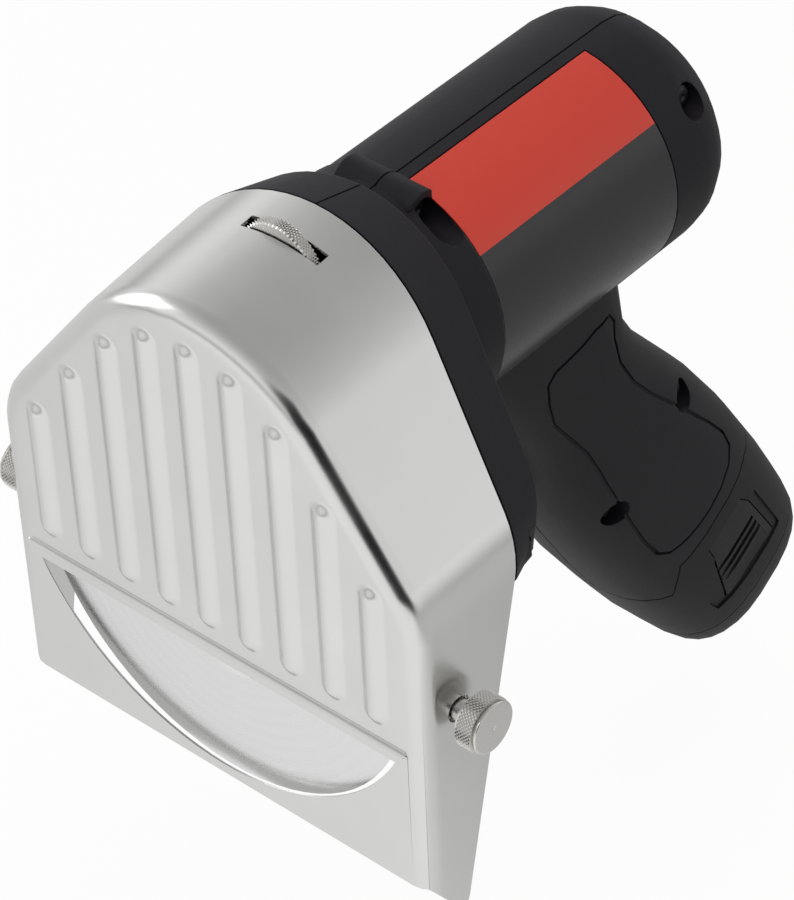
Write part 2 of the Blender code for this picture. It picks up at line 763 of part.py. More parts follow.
def bearing(name, outer, bore, front, width):
    """A shielded ball bearing as one ring with its shields set back."""
    lip = (outer - bore) * 0.28
    back = front + width
    dip = width / 12
    profile = [
        (front, bore), (front, bore + lip), (front + dip, bore + lip + dip),
        (front + dip, outer - lip - dip), (front, outer - lip), (front, outer),
        (back, outer), (back, bore),
    ]
    make(name, turned(profile, 24, loop=True), POLISHED)


def gear_outline(teeth, start):
    """Outline of a spur gear, one tooth centred on the starting angle."""
    pitch = GEAR_MODULE * teeth / 2
    half = (math.pi * GEAR_MODULE - BACKLASH * 2) / 4
    root = pitch - GEAR_MODULE * 1.25
    tip = pitch + GEAR_MODULE * 0.9
    shape = ((root, half * 1.4), (tip, half * 0.52), (tip, -half * 0.52), (root, -half * 1.4))
    points = []
    for i in range(teeth):
        middle = start - 2 * math.pi * i / teeth
        for radius, width in shape:
            angle = middle + width / radius
            points.append((radius * math.cos(angle), radius * math.sin(angle)))
    return points


def build_gears(gear_front, gear_back):
    outline = gear_outline(GEAR_TEETH, math.pi / 2)
    gear = make("drive_gear", prism_y(outline, gear_front, gear_back), NYLON)
    web = GEAR_WIDTH / 4
    inner = SHAFT_R + 4 * BOX_WALL
    outer = GEAR_MODULE * GEAR_TEETH / 2 - 4 * BOX_WALL
    for start, end in ((gear_front - CUT, gear_front + web), (gear_back - web, gear_back + CUT)):
        profile = [(start, inner), (start, outer), (end, outer), (end, inner)]
        combine(gear, make("relief", turned(profile, 32, loop=True)))
    combine(gear, rod("bore", SHAFT_R + GAP, (0, 0), gear_front - CUT, gear_back + CUT, 24))
    half_tooth = math.pi / PINION_TEETH
    outline = [(x, z + AXLE_RISE) for x, z in gear_outline(PINION_TEETH, -math.pi / 2 + half_tooth)]
    bm = prism_y(outline, gear_front, gear_back)
    pinion = make("motor_pinion", bm, STEEL, (0, gear_front, AXLE_RISE))
    combine(pinion, rod("bore", ROTOR_R + GAP, (0, AXLE_RISE), gear_front - CUT, gear_back + CUT))


def box_outline(rim, horn, steps=36):
    """Hull of the round gear space and the smaller round of the motor's pinion."""
    points = circle(rim, steps) + circle(horn, steps // 2, (0, AXLE_RISE))
    return [points[i] for i in convex_hull_2d(points)]


def cover_screw_places():
    """Two screws level with the hub's top and two beside the pinion's horn."""
    low = BOX_RIM_R + POST_R * 0.3
    angle = math.radians(20)
    wide = (low * math.cos(angle), low * math.sin(angle))
    horn = (BOX_HORN_R + POST_R * 0.8, AXLE_RISE + GEAR_MODULE)
    return [(side * x, z) for x, z in (wide, horn) for side in (-1, 1)]


def screw_along_y(name, place, head_back, tail, head_thick, head_r, shank_r):
    """A pan-headed screw pointing back, with a round dimple in its head."""
    x, z = place
    head_front = head_back - head_thick
    dimple = head_thick / 3
    profile = [
        (head_front + dimple, 0), (head_front, head_r / 3), (head_front, head_r * 0.7),
        (head_front + head_thick / 2, head_r), (head_back, head_r), (head_back, shank_r),
        (tail, shank_r), (tail, 0),
    ]
    return make(name, turned(profile, 12, at(x, 0, z)), STEEL)


def build_gearbox(race_front, gear_back):
    cover_back = COVER_FRONT + COVER_THICK
    cover = make("gearbox_cover", prism_y(box_outline(BOX_RIM_R, BOX_HORN_R), COVER_FRONT, cover_back), ALLOY)
    race_back = race_front + FRONT_RACE_WIDTH
    pocket = FRONT_RACE_R + GAP
    collar = rod("collar", pocket + 2 * BOX_WALL, (0, 0), cover_back - GAP, race_back, 28)
    combine(cover, collar, "UNION")
    combine(cover, rod("pocket", pocket, (0, 0), race_front - GAP, race_back + CUT, 28))
    combine(cover, rod("lip", SHOULDER_R + 2 * GAP, (0, 0), COVER_FRONT - CUT, race_back, 24))
    cup_front = cover_back + GAP
    floor_front = gear_back + 2 * GAP
    floor_back = floor_front + BOX_FLOOR
    cup = make("gearbox_cup", prism_y(box_outline(BOX_RIM_R, BOX_HORN_R), cup_front, floor_back), BLACK)
    boss_back = floor_front + REAR_RACE_WIDTH + GAP
    boss = rod("boss", REAR_RACE_R + GAP + BOX_WALL * 1.5, (0, 0), floor_back - GAP, boss_back, 28)
    combine(cup, boss, "UNION")
    inner = box_outline(BOX_RIM_R - BOX_WALL, BOX_HORN_R - BOX_WALL)
    combine(cup, make("gear_room", prism_y(inner, cup_front - CUT, floor_front)))
    combine(cup, rod("race_room", REAR_RACE_R + GAP, (0, 0), cup_front, boss_back + CUT, 28))
    combine(cup, rod("nose_room", MOTOR_NOSE_R + GAP, (0, AXLE_RISE), floor_front - CUT, floor_back + CUT, 24))
    for number, place in enumerate(cover_screw_places(), 1):
        ear = rod("ear", POST_R, place, COVER_FRONT, cover_back, 16)
        combine(cover, ear, "UNION")
        combine(cover, rod("hole", COVER_SCREW_R + GAP, place, COVER_FRONT - CUT, cover_back + CUT, 12))
        post = rod("post", POST_R, place, cup_front, floor_back, 16)
        combine(cup, post, "UNION")
        tail = cup_front + GEAR_WIDTH
        combine(cup, rod("pilot", COVER_SCREW_R + GAP, place, cup_front - CUT, tail + GAP, 12))
        name = f"cover_screw_{number}"
        head_back = COVER_FRONT - GAP
        screw_along_y(name, place, head_back, tail, COVER_HEAD_THICK, COVER_HEAD_R, COVER_SCREW_R)
    for side in (-1, 1):
        place = (side * BRACKET_SCREW_X, EAR_Z)
        combine(cover, rod("hole", COVER_SCREW_R + GAP, place, COVER_FRONT - CUT, cover_back + CUT, 12))
    bearing("front_bearing", FRONT_RACE_R, SHAFT_R + GAP, race_front, FRONT_RACE_WIDTH)
    bearing("rear_bearing", REAR_RACE_R, TAIL_R + GAP, floor_front, REAR_RACE_WIDTH)
    return floor_back


def build_bracket():
    """Bar on the gearbox cover, with a forked ear at each end for the sliding clamp nuts."""
    back = COVER_FRONT - GAP
    front = back - BRACKET_THICK
    ear_out = GUARD_HALF - GUARD_SHEET - GAP
    ear_in = ear_out - EAR_THICK
    ear_back = EAR_Y + EAR_TAIL
    low = EAR_Z - BRACKET_ARM
    high = EAR_Z + BRACKET_ARM
    inset = BRACKET_THICK / 4
    bar = block((-ear_in - inset, front, low + inset), (ear_in + inset, back, high - inset))
    bracket = make("guard_bracket", bar, STEEL)
    combine(bracket, rod("ring", BRACKET_RING_R, (0, 0), front, back, 36), "UNION")
    combine(bracket, rod("hole", BRACKET_HOLE_R, (0, 0), front - CUT, back + CUT, 36))
    corner = EAR_THICK * 0.75
    neck = NUT_NECK + GAP
    lip = NUT_HALF + GAP
    for number, side in enumerate((-1, 1), 1):
        outline = [
            (side * ear_in, EAR_FRONT), (side * (ear_out - corner), EAR_FRONT),
            (side * ear_out, EAR_FRONT + corner), (side * ear_out, ear_back), (side * ear_in, ear_back),
        ]
        ear = loft([[(x, y, z) for x, y in outline] for z in (low, high)])
        combine(bracket, make("ear", ear), "UNION")
        x0, x1 = sorted((side * (ear_in - 2 * NUT_LIP), side * ear_in))
        window = block((x0, front - CUT, EAR_Z - lip), (x1, back + CUT, EAR_Z + lip))
        combine(bracket, make("window", window))
        x0, x1 = sorted((side * (ear_in - NUT_LIP), side * (ear_out + CUT)))
        slot = block((x0, 0, EAR_Z - neck), (x1, EAR_Y + neck, EAR_Z + neck))
        combine(bracket, make("slot", slot))
        place = (side * BRACKET_SCREW_X, EAR_Z)
        combine(bracket, rod("hole", COVER_SCREW_R + GAP, place, front - CUT, back + CUT, 12))
        tail = back + COVER_THICK + 2 * COVER_SCREW_R
        name = f"bracket_screw_{number}"
        screw_along_y(name, place, front - GAP, tail, COVER_HEAD_THICK, COVER_HEAD_R, COVER_SCREW_R)
        build_clamp_nut(side, ear_in, ear_out)
    return bracket


def build_clamp_nut(side, ear_in, ear_out):
    """T-shaped nut: its lip bears on the ear's inner face, its neck slides in the fork."""
    lip_out = ear_in - GAP
    lip_in = lip_out - NUT_LIP
    name = "clamp_nut_left" if side < 0 else "clamp_nut_right"
    neck = block((lip_in, EAR_Y - NUT_NECK, EAR_Z - NUT_NECK), (ear_out, EAR_Y + NUT_NECK, EAR_Z + NUT_NECK))
    lip = block((lip_in, EAR_Y - NUT_HALF, EAR_Z - NUT_HALF), (lip_out, EAR_Y + NUT_HALF, EAR_Z + NUT_HALF))
    if side < 0:
        mirror_x(neck)
        mirror_x(lip)
    nut = make(name, neck, STEEL)
    combine(nut, make("lip", lip), "UNION")
    x0, x1 = sorted((side * (lip_in - CUT), side * (ear_out + CUT)))
    combine(nut, rod_across("thread", THUMB_R + GAP, (EAR_Y, EAR_Z), x0, x1))
    return nut


def build_thumb_screws():
    """A threaded stud with a collar and a knurled knob on each side; the right one is backed out."""
    collar_in = wall_x(EAR_Y + THUMB_COLLAR_R) + GAP
    collar_out = collar_in + THUMB_COLLAR_THICK
    neck_out = collar_out + THUMB_NECK
    knob_out = neck_out + THUMB_HEAD_LENGTH
    tail = GUARD_HALF - THUMB_REACH
    stud_end = knob_out - THUMB_HEAD_LENGTH / 3
    stud = [
        (tail, 0), (tail, THUMB_R - THUMB_CHAMFER), (tail + THUMB_CHAMFER, THUMB_R),
        (collar_in, THUMB_R), (collar_in, THUMB_COLLAR_R), (collar_out, THUMB_COLLAR_R),
        (collar_out, THUMB_R), (stud_end, THUMB_R), (stud_end, 0),
    ]
    knob = make_knob_rings(neck_out, knob_out, stud_end)
    for side, name, out in ((-1, "left", 0), (1, "right", THUMB_BACKED_OUT)):
        place = across(out, EAR_Y, EAR_Z)
        bm = turned(stud, 16, place)
        head = loft(knob)
        bmesh.ops.transform(head, matrix=place, verts=head.verts)
        if side < 0:
            mirror_x(bm)
            mirror_x(head)
        make(f"thumb_stud_{name}", bm, STEEL, (side * (tail + out), EAR_Y, EAR_Z))
        make(f"thumb_knob_{name}", head, STEEL, (side * (neck_out + out), EAR_Y, EAR_Z))


def make_knob_rings(start, end, stud_end):
    """Rings of the knurled knob, from the floor of its bore round to its face."""
    steps = KNURL_COUNT * 2
    bore = THUMB_R + GAP
    rough = THUMB_HEAD_R - KNURL_DEPTH
    plan = [
        (stud_end + GAP, bore, 0), (start, bore, 0), (start, rough - THUMB_CHAMFER, 0),
        (start + THUMB_CHAMFER, rough, KNURL_DEPTH), (end - THUMB_CHAMFER, rough, KNURL_DEPTH),
        (end, rough - THUMB_CHAMFER, 0),
    ]
    rings = [[(0, stud_end + GAP, 0)]]
    for along, radius, depth in plan:
        ring = []
        for i in range(steps):
            angle = 2 * math.pi * i / steps
            r = radius + (depth if i % 2 else 0)
            ring.append((r * math.cos(angle), along, r * math.sin(angle)))
        rings.append(ring)
    rings.append([(0, end, 0)])
    return rings


def build_wheel():
    steps = KNURL_COUNT * 3
    back = WHEEL_Y + WHEEL_THICK
    rough = WHEEL_R - KNURL_DEPTH
    bore = STUD_R + GAP
    edge = THUMB_CHAMFER / 2
    plan = [
        (WHEEL_Y, bore, 0), (WHEEL_Y, rough - edge, 0), (WHEEL_Y + edge, rough, KNURL_DEPTH),
        (back - edge, rough, KNURL_DEPTH), (back, rough - edge, 0), (back, bore, 0),
    ]
    rings = []
    for along, radius, depth in plan:
        ring = []
        for i in range(steps):
            angle = 2 * math.pi * i / steps
            r = radius + (depth if i % 2 else 0)
            ring.append((r * math.cos(angle), along, WHEEL_Z + r * math.sin(angle)))
        rings.append(ring)
    make("thickness_wheel", loft(rings, loop=True), STEEL, (0, WHEEL_Y, WHEEL_Z))
    profile = [
        (STUD_FRONT, 0), (STUD_FRONT, STUD_R - THUMB_CHAMFER), (STUD_FRONT + THUMB_CHAMFER, STUD_R),
        (STUD_BACK, STUD_R), (STUD_BACK, 0),
    ]
    make("wheel_stud", turned(profile, 16, at(0, 0, WHEEL_Z)), STEEL)


def board_y(floor_back):
    """Depth of the speed board's front face, behind the motor's end cap."""
    return floor_back + MOTOR_LENGTH + MOTOR_CAP + BOARD_GAP + 2 * GAP


def build_motor(floor_back):
    """Can, end cap and rotor shaft on the barrel's axis, with the speed board behind them."""
    front = floor_back + GAP
    back = front + MOTOR_LENGTH
    place = at(0, 0, AXLE_RISE)
    edge = MOTOR_NOSE
    shaft_room = ROTOR_R + GAP
    can = [
        (front - edge, shaft_room), (front - edge, MOTOR_NOSE_R), (front, MOTOR_NOSE_R),
        (front, MOTOR_R - edge), (front + edge, MOTOR_R), (back, MOTOR_R), (back, shaft_room),
    ]
    make("motor_can", turned(can, 32, place, loop=True), STEEL)
    cap_front = back + GAP
    cap_back = cap_front + MOTOR_CAP
    cap = [
        (cap_front, shaft_room), (cap_front, MOTOR_R - edge), (cap_back - edge, MOTOR_R - edge),
        (cap_back, MOTOR_R - 2 * edge), (cap_back, shaft_room),
    ]
    end = make("motor_end_cap", turned(cap, 28, place, loop=True), BLACK)
    for side in (-1, 1):
        x = side * MOTOR_R / 2
        low = (x - edge, cap_back - GAP, AXLE_RISE - edge / 3)
        high = (x + edge, cap_back + 3 * edge, AXLE_RISE + edge / 3)
        combine(end, make("tab", block(low, high)), "UNION")
    rotor = [
        (front - ROTOR_FRONT, 0), (front - ROTOR_FRONT, ROTOR_R),
        (cap_back + edge, ROTOR_R), (cap_back + edge, 0),
    ]
    make("motor_shaft", turned(rotor, 16, place), STEEL, (0, front, AXLE_RISE))
    board_front = board_y(floor_back)
    board = make("speed_board", prism_y(circle(BOARD_R, 8, (0, AXLE_RISE), math.pi / 8),
                                        board_front, board_front + BOARD_THICK), BOARD)
    for x, z, size in ((-0.4, 0.3, 0.16), (0.35, 0.35, 0.2), (0.0, -0.35, 0.26), (0.5, -0.2, 0.1)):
        x *= BOARD_R
        z = AXLE_RISE + z * BOARD_R
        size *= BOARD_R
        back = board_front + BOARD_THICK
        chip = block((x - size, back - GAP, z - size), (x + size, back + size, z + size))
        combine(board, make("chip", chip), "UNION")


def flange_outline(inset=0.0):
    """Hull of the guard's flared shoulders and crown at its rim and the round foot behind the blade."""
    points = []
    for i, (x, z) in enumerate(guard_outline()):
        run = rim_y(z) - RIB_HEIGHT
        x, z = guard_outline(inset - GUARD_FLARE * run)[i]
        points.append((x, z + GUARD_LIFT * run))
    points = points[1:-1] + circle(FLANGE_FOOT_R - inset, 40)
    return [points[i] for i in convex_hull_2d(points)]


def flange_back(z):
    """Depth of the flange's back face: it leans back above the motor and forward to its foot."""
    above = z - FLANGE_BACK_Z
    slope = FLANGE_BACK_SLOPE if above > 0 else FLANGE_FOOT_SLOPE
    return max(FLANGE_BACK_Y + slope * above, FLANGE_FOOT_Y)


def flange_back_cutter():
    """What lies behind the inner face of the flange's sloping back wall."""
    base = FLANGE_BACK_Y - WALL - FLANGE_BACK_SLOPE * FLANGE_BACK_Z
    return slope_cutter("back", base, FLANGE_BACK_SLOPE, GUARD_HALF * 3)


def flange_solid():
    """Flange whose front follows the guard's rim and whose sides taper to a rounded back edge."""
    base = flange_outline()
    middle = Vector((0, GUARD_CROWN_Z / 2))
    rings = [[(x, rim_y(z) + GAP * 1.5, z) for x, z in base]]
    for i in range(4):
        angle = math.pi / 2 * i / 3
        trim = FLANGE_TAPER + FLANGE_ROUND * (1 - math.cos(angle))
        drop = FLANGE_ROUND * (1 - math.sin(angle))
        ring = []
        for x, z in base:
            arm = Vector((x, z)) - middle
            place = middle + arm * (1 - trim / arm.length)
            ring.append((place.x, flange_back(z) - drop, place.y))
        rings.append(ring)
    ring = []
    for x, z in base:
        place = middle + (Vector((x, z)) - middle) * 0.2
        ring.append((place.x, flange_back(place.y), place.y))
    rings.append(ring)
    return loft(rings)


def barrel_profile(inset, start):
    """Barrel's outline from front to back, after its given front part, with a round rear edge."""
    back = BARREL_BACK - inset
    radius = BARREL_R - inset
    bend = BARREL_ROUND - inset
    points = []
    for i in range(6):
        angle = math.pi / 2 * i / 5
        points.append((back - bend * (1 - math.sin(angle)), radius - bend * (1 - math.cos(angle))))
    return [*start, *points, (back, 0)]


def case_screw_places():
    """The four case screws as (y, z, height of the recess's floor to the right of the seam)."""
    rear = grip_point(GRIP_LENGTH * 0.382, GRIP_DEPTH * 0.50)
    fore = grip_point(GRIP_LENGTH * 0.393, -GRIP_DEPTH * 0.61)
    return (
        (TOP_BOSS_Y, TOP_BOSS_Z, TOP_BOSS_HALF * 0.6),
        (BARREL_BACK - BARREL_ROUND * 0.9, AXLE_RISE + BARREL_R * 0.577, BARREL_R * 0.62),
        (rear.y, rear.z, GRIP_HALF * 0.6),
        (fore.y, fore.z, GRIP_HALF * 0.6),
    )


def split_outline(far):
    """Region above, or below, the stepped line where the battery meets the grip."""
    line = [(SPLIT + step * SPLIT_STEP, behind * GRIP_DEPTH) for step, behind in SPLIT_SHARES]
    corners = [(far, line[-1][1]), (far, line[0][1])]
    return grown(line + corners, GAP / 2)


def build_cavity(floor_back, gear_back):
    """Everything inside the housing, less the ribs, posts and bosses that stay."""
    reach = GUARD_HALF * 3
    bulkhead = FLANGE_FOOT_Y - WALL
    barrel_back = BARREL_BACK - BARREL_WALL
    axle = at(0, 0, AXLE_RISE)
    cavity = make("cavity", prism_y(flange_outline(SPIGOT_INSET + SPIGOT_WALL), 0, bulkhead))
    behind = make("behind", prism_y(flange_outline(FLANGE_TAPER + WALL), bulkhead - GAP, reach))
    combine(behind, flange_back_cutter())
    combine(behind, make("below", block((-reach, 0, -reach), (reach, reach, FLANGE_BACK_Z + WALL))))
    combine(cavity, behind, "UNION")
    room = BARREL_R - BARREL_WALL
    core = MOTOR_R + GAP
    way = core + GAP
    start = [(bulkhead - GAP, 0), (bulkhead - GAP, way), (FLANGE_FOOT_Y, way), (FLANGE_FOOT_Y, room)]
    ribs = [floor_back + share * MOTOR_LENGTH for share in RIB_SHARES]
    ribs.append(board_y(floor_back) + (BOARD_THICK - RIB_THICK) / 2)
    for rib_front in ribs:
        rib_back = rib_front + RIB_THICK
        start += [(rib_front, room), (rib_front, core), (rib_back, core), (rib_back, room)]
    barrel = turned(barrel_profile(BARREL_WALL, start), 32, axle)
    combine(cavity, make("barrel_room", barrel), "UNION")
    shelf = STICK_TOP - CONTACT_HEIGHT * 2
    upper = grip_loft(GRIP_SHARES[0][0] * GRIP_LENGTH * 0.8, shelf, GRIP_WALL)
    combine(cavity, make("grip_room", upper), "UNION")
    bay = grip_prism(STICK_TOP - GAP, GRIP_LENGTH, STICK_DEPTH + STICK_SLIP, STICK_HALF + STICK_SLIP)
    combine(cavity, make("bay", bay), "UNION")
    low = (-TOWER_HALF - WALL, shelf - CUT, -TOWER_DEPTH - WALL)
    high = (TOWER_HALF + WALL, STICK_TOP + CUT, TOWER_DEPTH + WALL)
    combine(cavity, make("contact_room", grip_block(low, high)), "UNION")
    plate = [
        (bulkhead, core), (bulkhead, reach), (bulkhead + WALL, reach), (bulkhead + WALL, core),
    ]
    combine(cavity, make("bulkhead", turned(plate, 32, axle, loop=True)))
    boss_back = STUD_BACK + WALL
    boss = rod("stud_boss", STUD_BOSS_R, (0, WHEEL_Z), bulkhead + GAP, boss_back, 20)
    combine(boss, rod("motor_room", MOTOR_R + GAP, (0, AXLE_RISE), 0, BARREL_BACK, 32))
    combine(cavity, boss)
    combine(cavity, rod("stud_bore", STUD_R + GAP, (0, WHEEL_Z), bulkhead - CUT, STUD_BACK + GAP, 16), "UNION")
    for y, z, floor in case_screw_places():
        combine(cavity, rod_across("post", RECESS_R + POST_WALL, (y, z), -reach, reach, 16))
    front = switch_front()
    for side in (-1, 1):
        x0, x1 = sorted((side * (SWITCH_HALF + GAP), side * GRIP_HALF))
        for share in SWITCH_RIB_SHARES:
            along = TRIGGER_TOP + share * SWITCH_LENGTH
            low = (x0, along, front - CUT)
            high = (x1, along + RIB_THICK, front + SWITCH_DEPTH * 2)
            combine(cavity, make("switch_rib", grip_block(low, high)))
    return cavity


def build_housing(cavity):
    reach = GUARD_HALF * 3
    body = make("housing", flange_solid())
    spigot = make("spigot", prism_y(flange_outline(SPIGOT_INSET), 0, FLANGE_FOOT_Y - WALL))
    rim = GUARD_RIM_Y - SPIGOT_LENGTH
    combine(spigot, slope_cutter("trim", rim, GUARD_RIM_SLOPE, reach, towards_back=False))
    combine(body, spigot, "UNION")
    axle = at(0, 0, AXLE_RISE)
    step = BARREL_R + COLLAR_STEP
    start = [(BARREL_FRONT, 0), (BARREL_FRONT, step), (COLLAR_BACK - COLLAR_STEP, step), (COLLAR_BACK, BARREL_R)]
    combine(body, make("barrel", turned(barrel_profile(0.0, start), 48, axle)), "UNION")
    grip = make("grip", grip_loft(GRIP_SHARES[0][0] * GRIP_LENGTH, SPLIT + 2 * SPLIT_STEP))
    combine(grip, make("split", grip_slab(split_outline(2 * GRIP_LENGTH), reach)))
    combine(body, grip, "UNION")
    boss_place = (TOP_BOSS_Y, TOP_BOSS_Z)
    boss = rod_across("top_boss", TOP_BOSS_R, boss_place, -TOP_BOSS_HALF, TOP_BOSS_HALF, 20)
    combine(body, boss, "UNION")
    combine(body, cavity)
    cut_details(body)
    return body


def cut_details(body):
    """Trigger opening, label bed, grip grooves and screw recesses."""
    axle = at(0, 0, AXLE_RISE)
    half = TRIGGER_HALF + GAP
    low = (-half, TRIGGER_TOP - GAP, -2 * GRIP_DEPTH)
    high = (half, TRIGGER_TOP + TRIGGER_LENGTH + GAP, -TRIGGER_BACK)
    combine(body, make("trigger_window", grip_block(low, high)))
    combine(body, make("label_bed", label_solid(BARREL_R - LABEL_SINK, BARREL_R + CUT, GAP)))
    groove = make("groove", groove_band())
    core = make("core", grip_loft(GRIP_SHARES[0][0] * GRIP_LENGTH, GRIP_LENGTH, INLAY_DEPTH))
    combine(groove, core)
    combine(body, groove)
    for y, z, floor in case_screw_places():
        recess = rod_across("recess", RECESS_R, (y, z), floor, GUARD_HALF, 18)
        combine(body, recess)
        bore = rod_across("bore", CASE_SCREW_R + GAP, (y, z), -CASE_SCREW_GRIP - GAP, floor + CUT, 12)
        combine(body, bore)


def groove_band():
    """Closed band across the tool that follows the edge of the grip's inlay."""
    points = [Vector((a * GRIP_LENGTH, b * GRIP_DEPTH)) for a, b in INLAY_SHARES]
    count = len(points)
    inner = []
    outer = []
    for i in range(count):
        tangent = (points[(i + 1) % count] - points[i - 1]).normalized()
        side = Vector((tangent.y, -tangent.x)) * INLAY_GROOVE / 2
        inner.append(points[i] + side)
        outer.append(points[i] - side)
    rings = [
        [(x, p.x, p.y) for p in ring]
        for ring, x in ((inner, -GUARD_HALF), (inner, GUARD_HALF), (outer, GUARD_HALF), (outer, -GUARD_HALF))
    ]
    return in_grip(loft(rings, loop=True))


def label_solid(inner, outer, margin):
    """Curved sheet over the right of the barrel."""
    steps = 18
    rings = []
    spread = margin / BARREL_R
    for i in range(steps + 1):
        angle = LABEL_LOW - spread + (LABEL_HIGH - LABEL_LOW + 2 * spread) * i / steps
        c = math.cos(angle)
        s = math.sin(angle)
        front = LABEL_FRONT - margin
        back = LABEL_BACK + margin
        rings.append([
            (inner * c, front, AXLE_RISE + inner * s), (outer * c, front, AXLE_RISE + outer * s),
            (outer * c, back, AXLE_RISE + outer * s), (inner * c, back, AXLE_RISE + inner * s),
        ])
    return loft(rings)


def split_housing(body):
    """Cuts the housing at the seam into its two halves."""
    reach = GUARD_HALF * 4
    whole = body.data.copy()
    for name, side in (("housing_right", 1), ("housing_left", -1)):
        half = bpy.data.objects.new(name, whole.copy())
        half.data.name = name
        bpy.context.collection.objects.link(half)
        x0, x1 = sorted((side * GAP / 2, -side * reach))
        combine(half, make("half_cut", block((x0, -reach, -reach), (x1, reach, reach))))
    bpy.data.objects.remove(body, do_unlink=True)
    bpy.data.meshes.remove(whole)


def build_case_screws():
    for number, (y, z, floor) in enumerate(case_screw_places(), 1):
        seat = floor + GAP
        top = seat + CASE_HEAD_THICK
        dimple = CASE_HEAD_THICK / 3
        profile = [
            (-CASE_SCREW_GRIP, 0), (-CASE_SCREW_GRIP, CASE_SCREW_R), (seat, CASE_SCREW_R),
            (seat, CASE_HEAD_R), (top - dimple, CASE_HEAD_R), (top, CASE_HEAD_R * 0.7),
            (top, CASE_HEAD_R / 3), (top - dimple, 0),
        ]
        make(f"case_screw_{number}", turned(profile, 12, across(0, y, z)), STEEL)


def switch_front():
    """Depth of the switch's front face, clear of the trigger at the end of its travel."""
    return -TRIGGER_BACK + TRIGGER_ROUND + TRIGGER_TRAVEL + 2 * GAP


def build_trigger():
    """Finger trigger with a hollowed front, and the switch behind it."""
    top = TRIGGER_TOP
    length = TRIGGER_LENGTH
    rings = []
    stops = 9
    for i in range(stops):
        share = i / (stops - 1)
        hollow = TRIGGER_WAIST * math.sin(math.pi * share)
        front = -TRIGGER_FRONT + hollow + TRIGGER_ROUND * (2 * share - 1) ** 6
        along = top + length * share
        half = TRIGGER_HALF
        bend = TRIGGER_ROUND
        rings.append([
            (half, along, -TRIGGER_BACK), (half, along, front + bend),
            (half - bend * 0.3, along, front + bend * 0.3), (half - bend, along, front),
            (bend - half, along, front), (bend * 0.3 - half, along, front + bend * 0.3),
            (-half, along, front + bend), (-half, along, -TRIGGER_BACK),
        ])
    origin = grip_point(top + length / 2, -TRIGGER_BACK)
    trigger = make("trigger", in_grip(loft(rings)), BLACK, origin)
    low = (-TRIGGER_HALF / 2, top + length * 0.3, -TRIGGER_BACK - GAP)
    high = (TRIGGER_HALF / 2, top + length * 0.6, -TRIGGER_BACK + TRIGGER_ROUND)
    combine(trigger, make("pad", grip_block(low, high)), "UNION")
    front = switch_front()
    low = (-SWITCH_HALF, top, front)
    high = (SWITCH_HALF, top + SWITCH_LENGTH, front + SWITCH_DEPTH)
    switch = make("switch_body", grip_block(low, high), BLACK)
    for side in (-1, 1):
        x = side * SWITCH_HALF / 2
        low = (x - GAP, top + SWITCH_LENGTH - GAP, front + SWITCH_DEPTH / 2)
        high = (x + GAP, top + SWITCH_LENGTH + 2 * PLUNGER_R, front + SWITCH_DEPTH * 0.8)
        combine(switch, make("tab", grip_block(low, high)), "UNION")


def build_battery():
    """Pack that slides up the grip: stick and skirt, base cap, four cells, two buttons."""
    stick_depth = STICK_DEPTH - STICK_WALL
    stick_half = STICK_HALF - STICK_WALL
    floor = CELL_BASE + 2 * GAP
    case = make("battery_case", grip_loft(SPLIT - 2 * SPLIT_STEP, floor))
    combine(case, make("split", grip_slab(split_outline(-GRIP_LENGTH), GUARD_HALF)))
    stick = grip_prism(STICK_TOP, SPLIT + 2 * SPLIT_STEP, STICK_DEPTH, STICK_HALF)
    combine(case, make("stick", stick), "UNION")
    low = (-TOWER_HALF, STICK_TOP - TOWER_HEIGHT, -TOWER_DEPTH)
    high = (TOWER_HALF, STICK_TOP + STICK_WALL / 2, TOWER_DEPTH)
    combine(case, make("tower", grip_block(low, high)), "UNION")
    inner = grip_prism(STICK_TOP + STICK_WALL, floor + CUT, stick_depth, stick_half)
    combine(case, make("cell_room", inner))
    for k in (-1, 0, 1):
        x = k * CONTACT_PITCH
        wide = CONTACT_THICK / 2 + GAP
        low = (x - wide, STICK_TOP - TOWER_HEIGHT - CUT, -TOWER_DEPTH * 0.7 - GAP)
        high = (x + wide, STICK_TOP - STICK_WALL, TOWER_DEPTH * 0.7 + GAP)
        combine(case, make("slot", grip_block(low, high)))
    cap = make("battery_base", grip_loft(floor + GAP, GRIP_LENGTH), BLACK)
    plug = grip_prism(floor - 2 * GAP, floor + STICK_WALL, stick_depth - GAP, stick_half - GAP)
    combine(cap, make("plug", plug), "UNION")
    build_buttons(case)
    number = 0
    for side in (-1, 1):
        for behind in (-1, 1):
            number += 1
            top = CELL_BASE - CELL_LENGTH
            profile = [
                (top - CELL_NIPPLE, 0), (top - CELL_NIPPLE, CELL_NIPPLE_R), (top, CELL_NIPPLE_R),
                (top, CELL_R - CELL_NIPPLE), (top + CELL_NIPPLE, CELL_R), (CELL_BASE - CELL_NIPPLE, CELL_R),
                (CELL_BASE, CELL_R - CELL_NIPPLE), (CELL_BASE, 0),
            ]
            place = at(side * CELL_STEP / 2, 0, behind * CELL_STEP / 2)
            make(f"battery_cell_{number}", in_grip(turned(profile, 16, place)), CELL)


def button_slab(shares, x0, x1, margin=0.0):
    """A button's outline, or its frame's, extruded between two widths."""
    outline = [(BUTTON_TOP + a * BUTTON_LENGTH, b * BUTTON_HALF) for a, b in shares]
    rings = [[(x, a, b) for a, b in grown(outline, margin)] for x in sorted((x0, x1))]
    return in_grip(loft(rings))


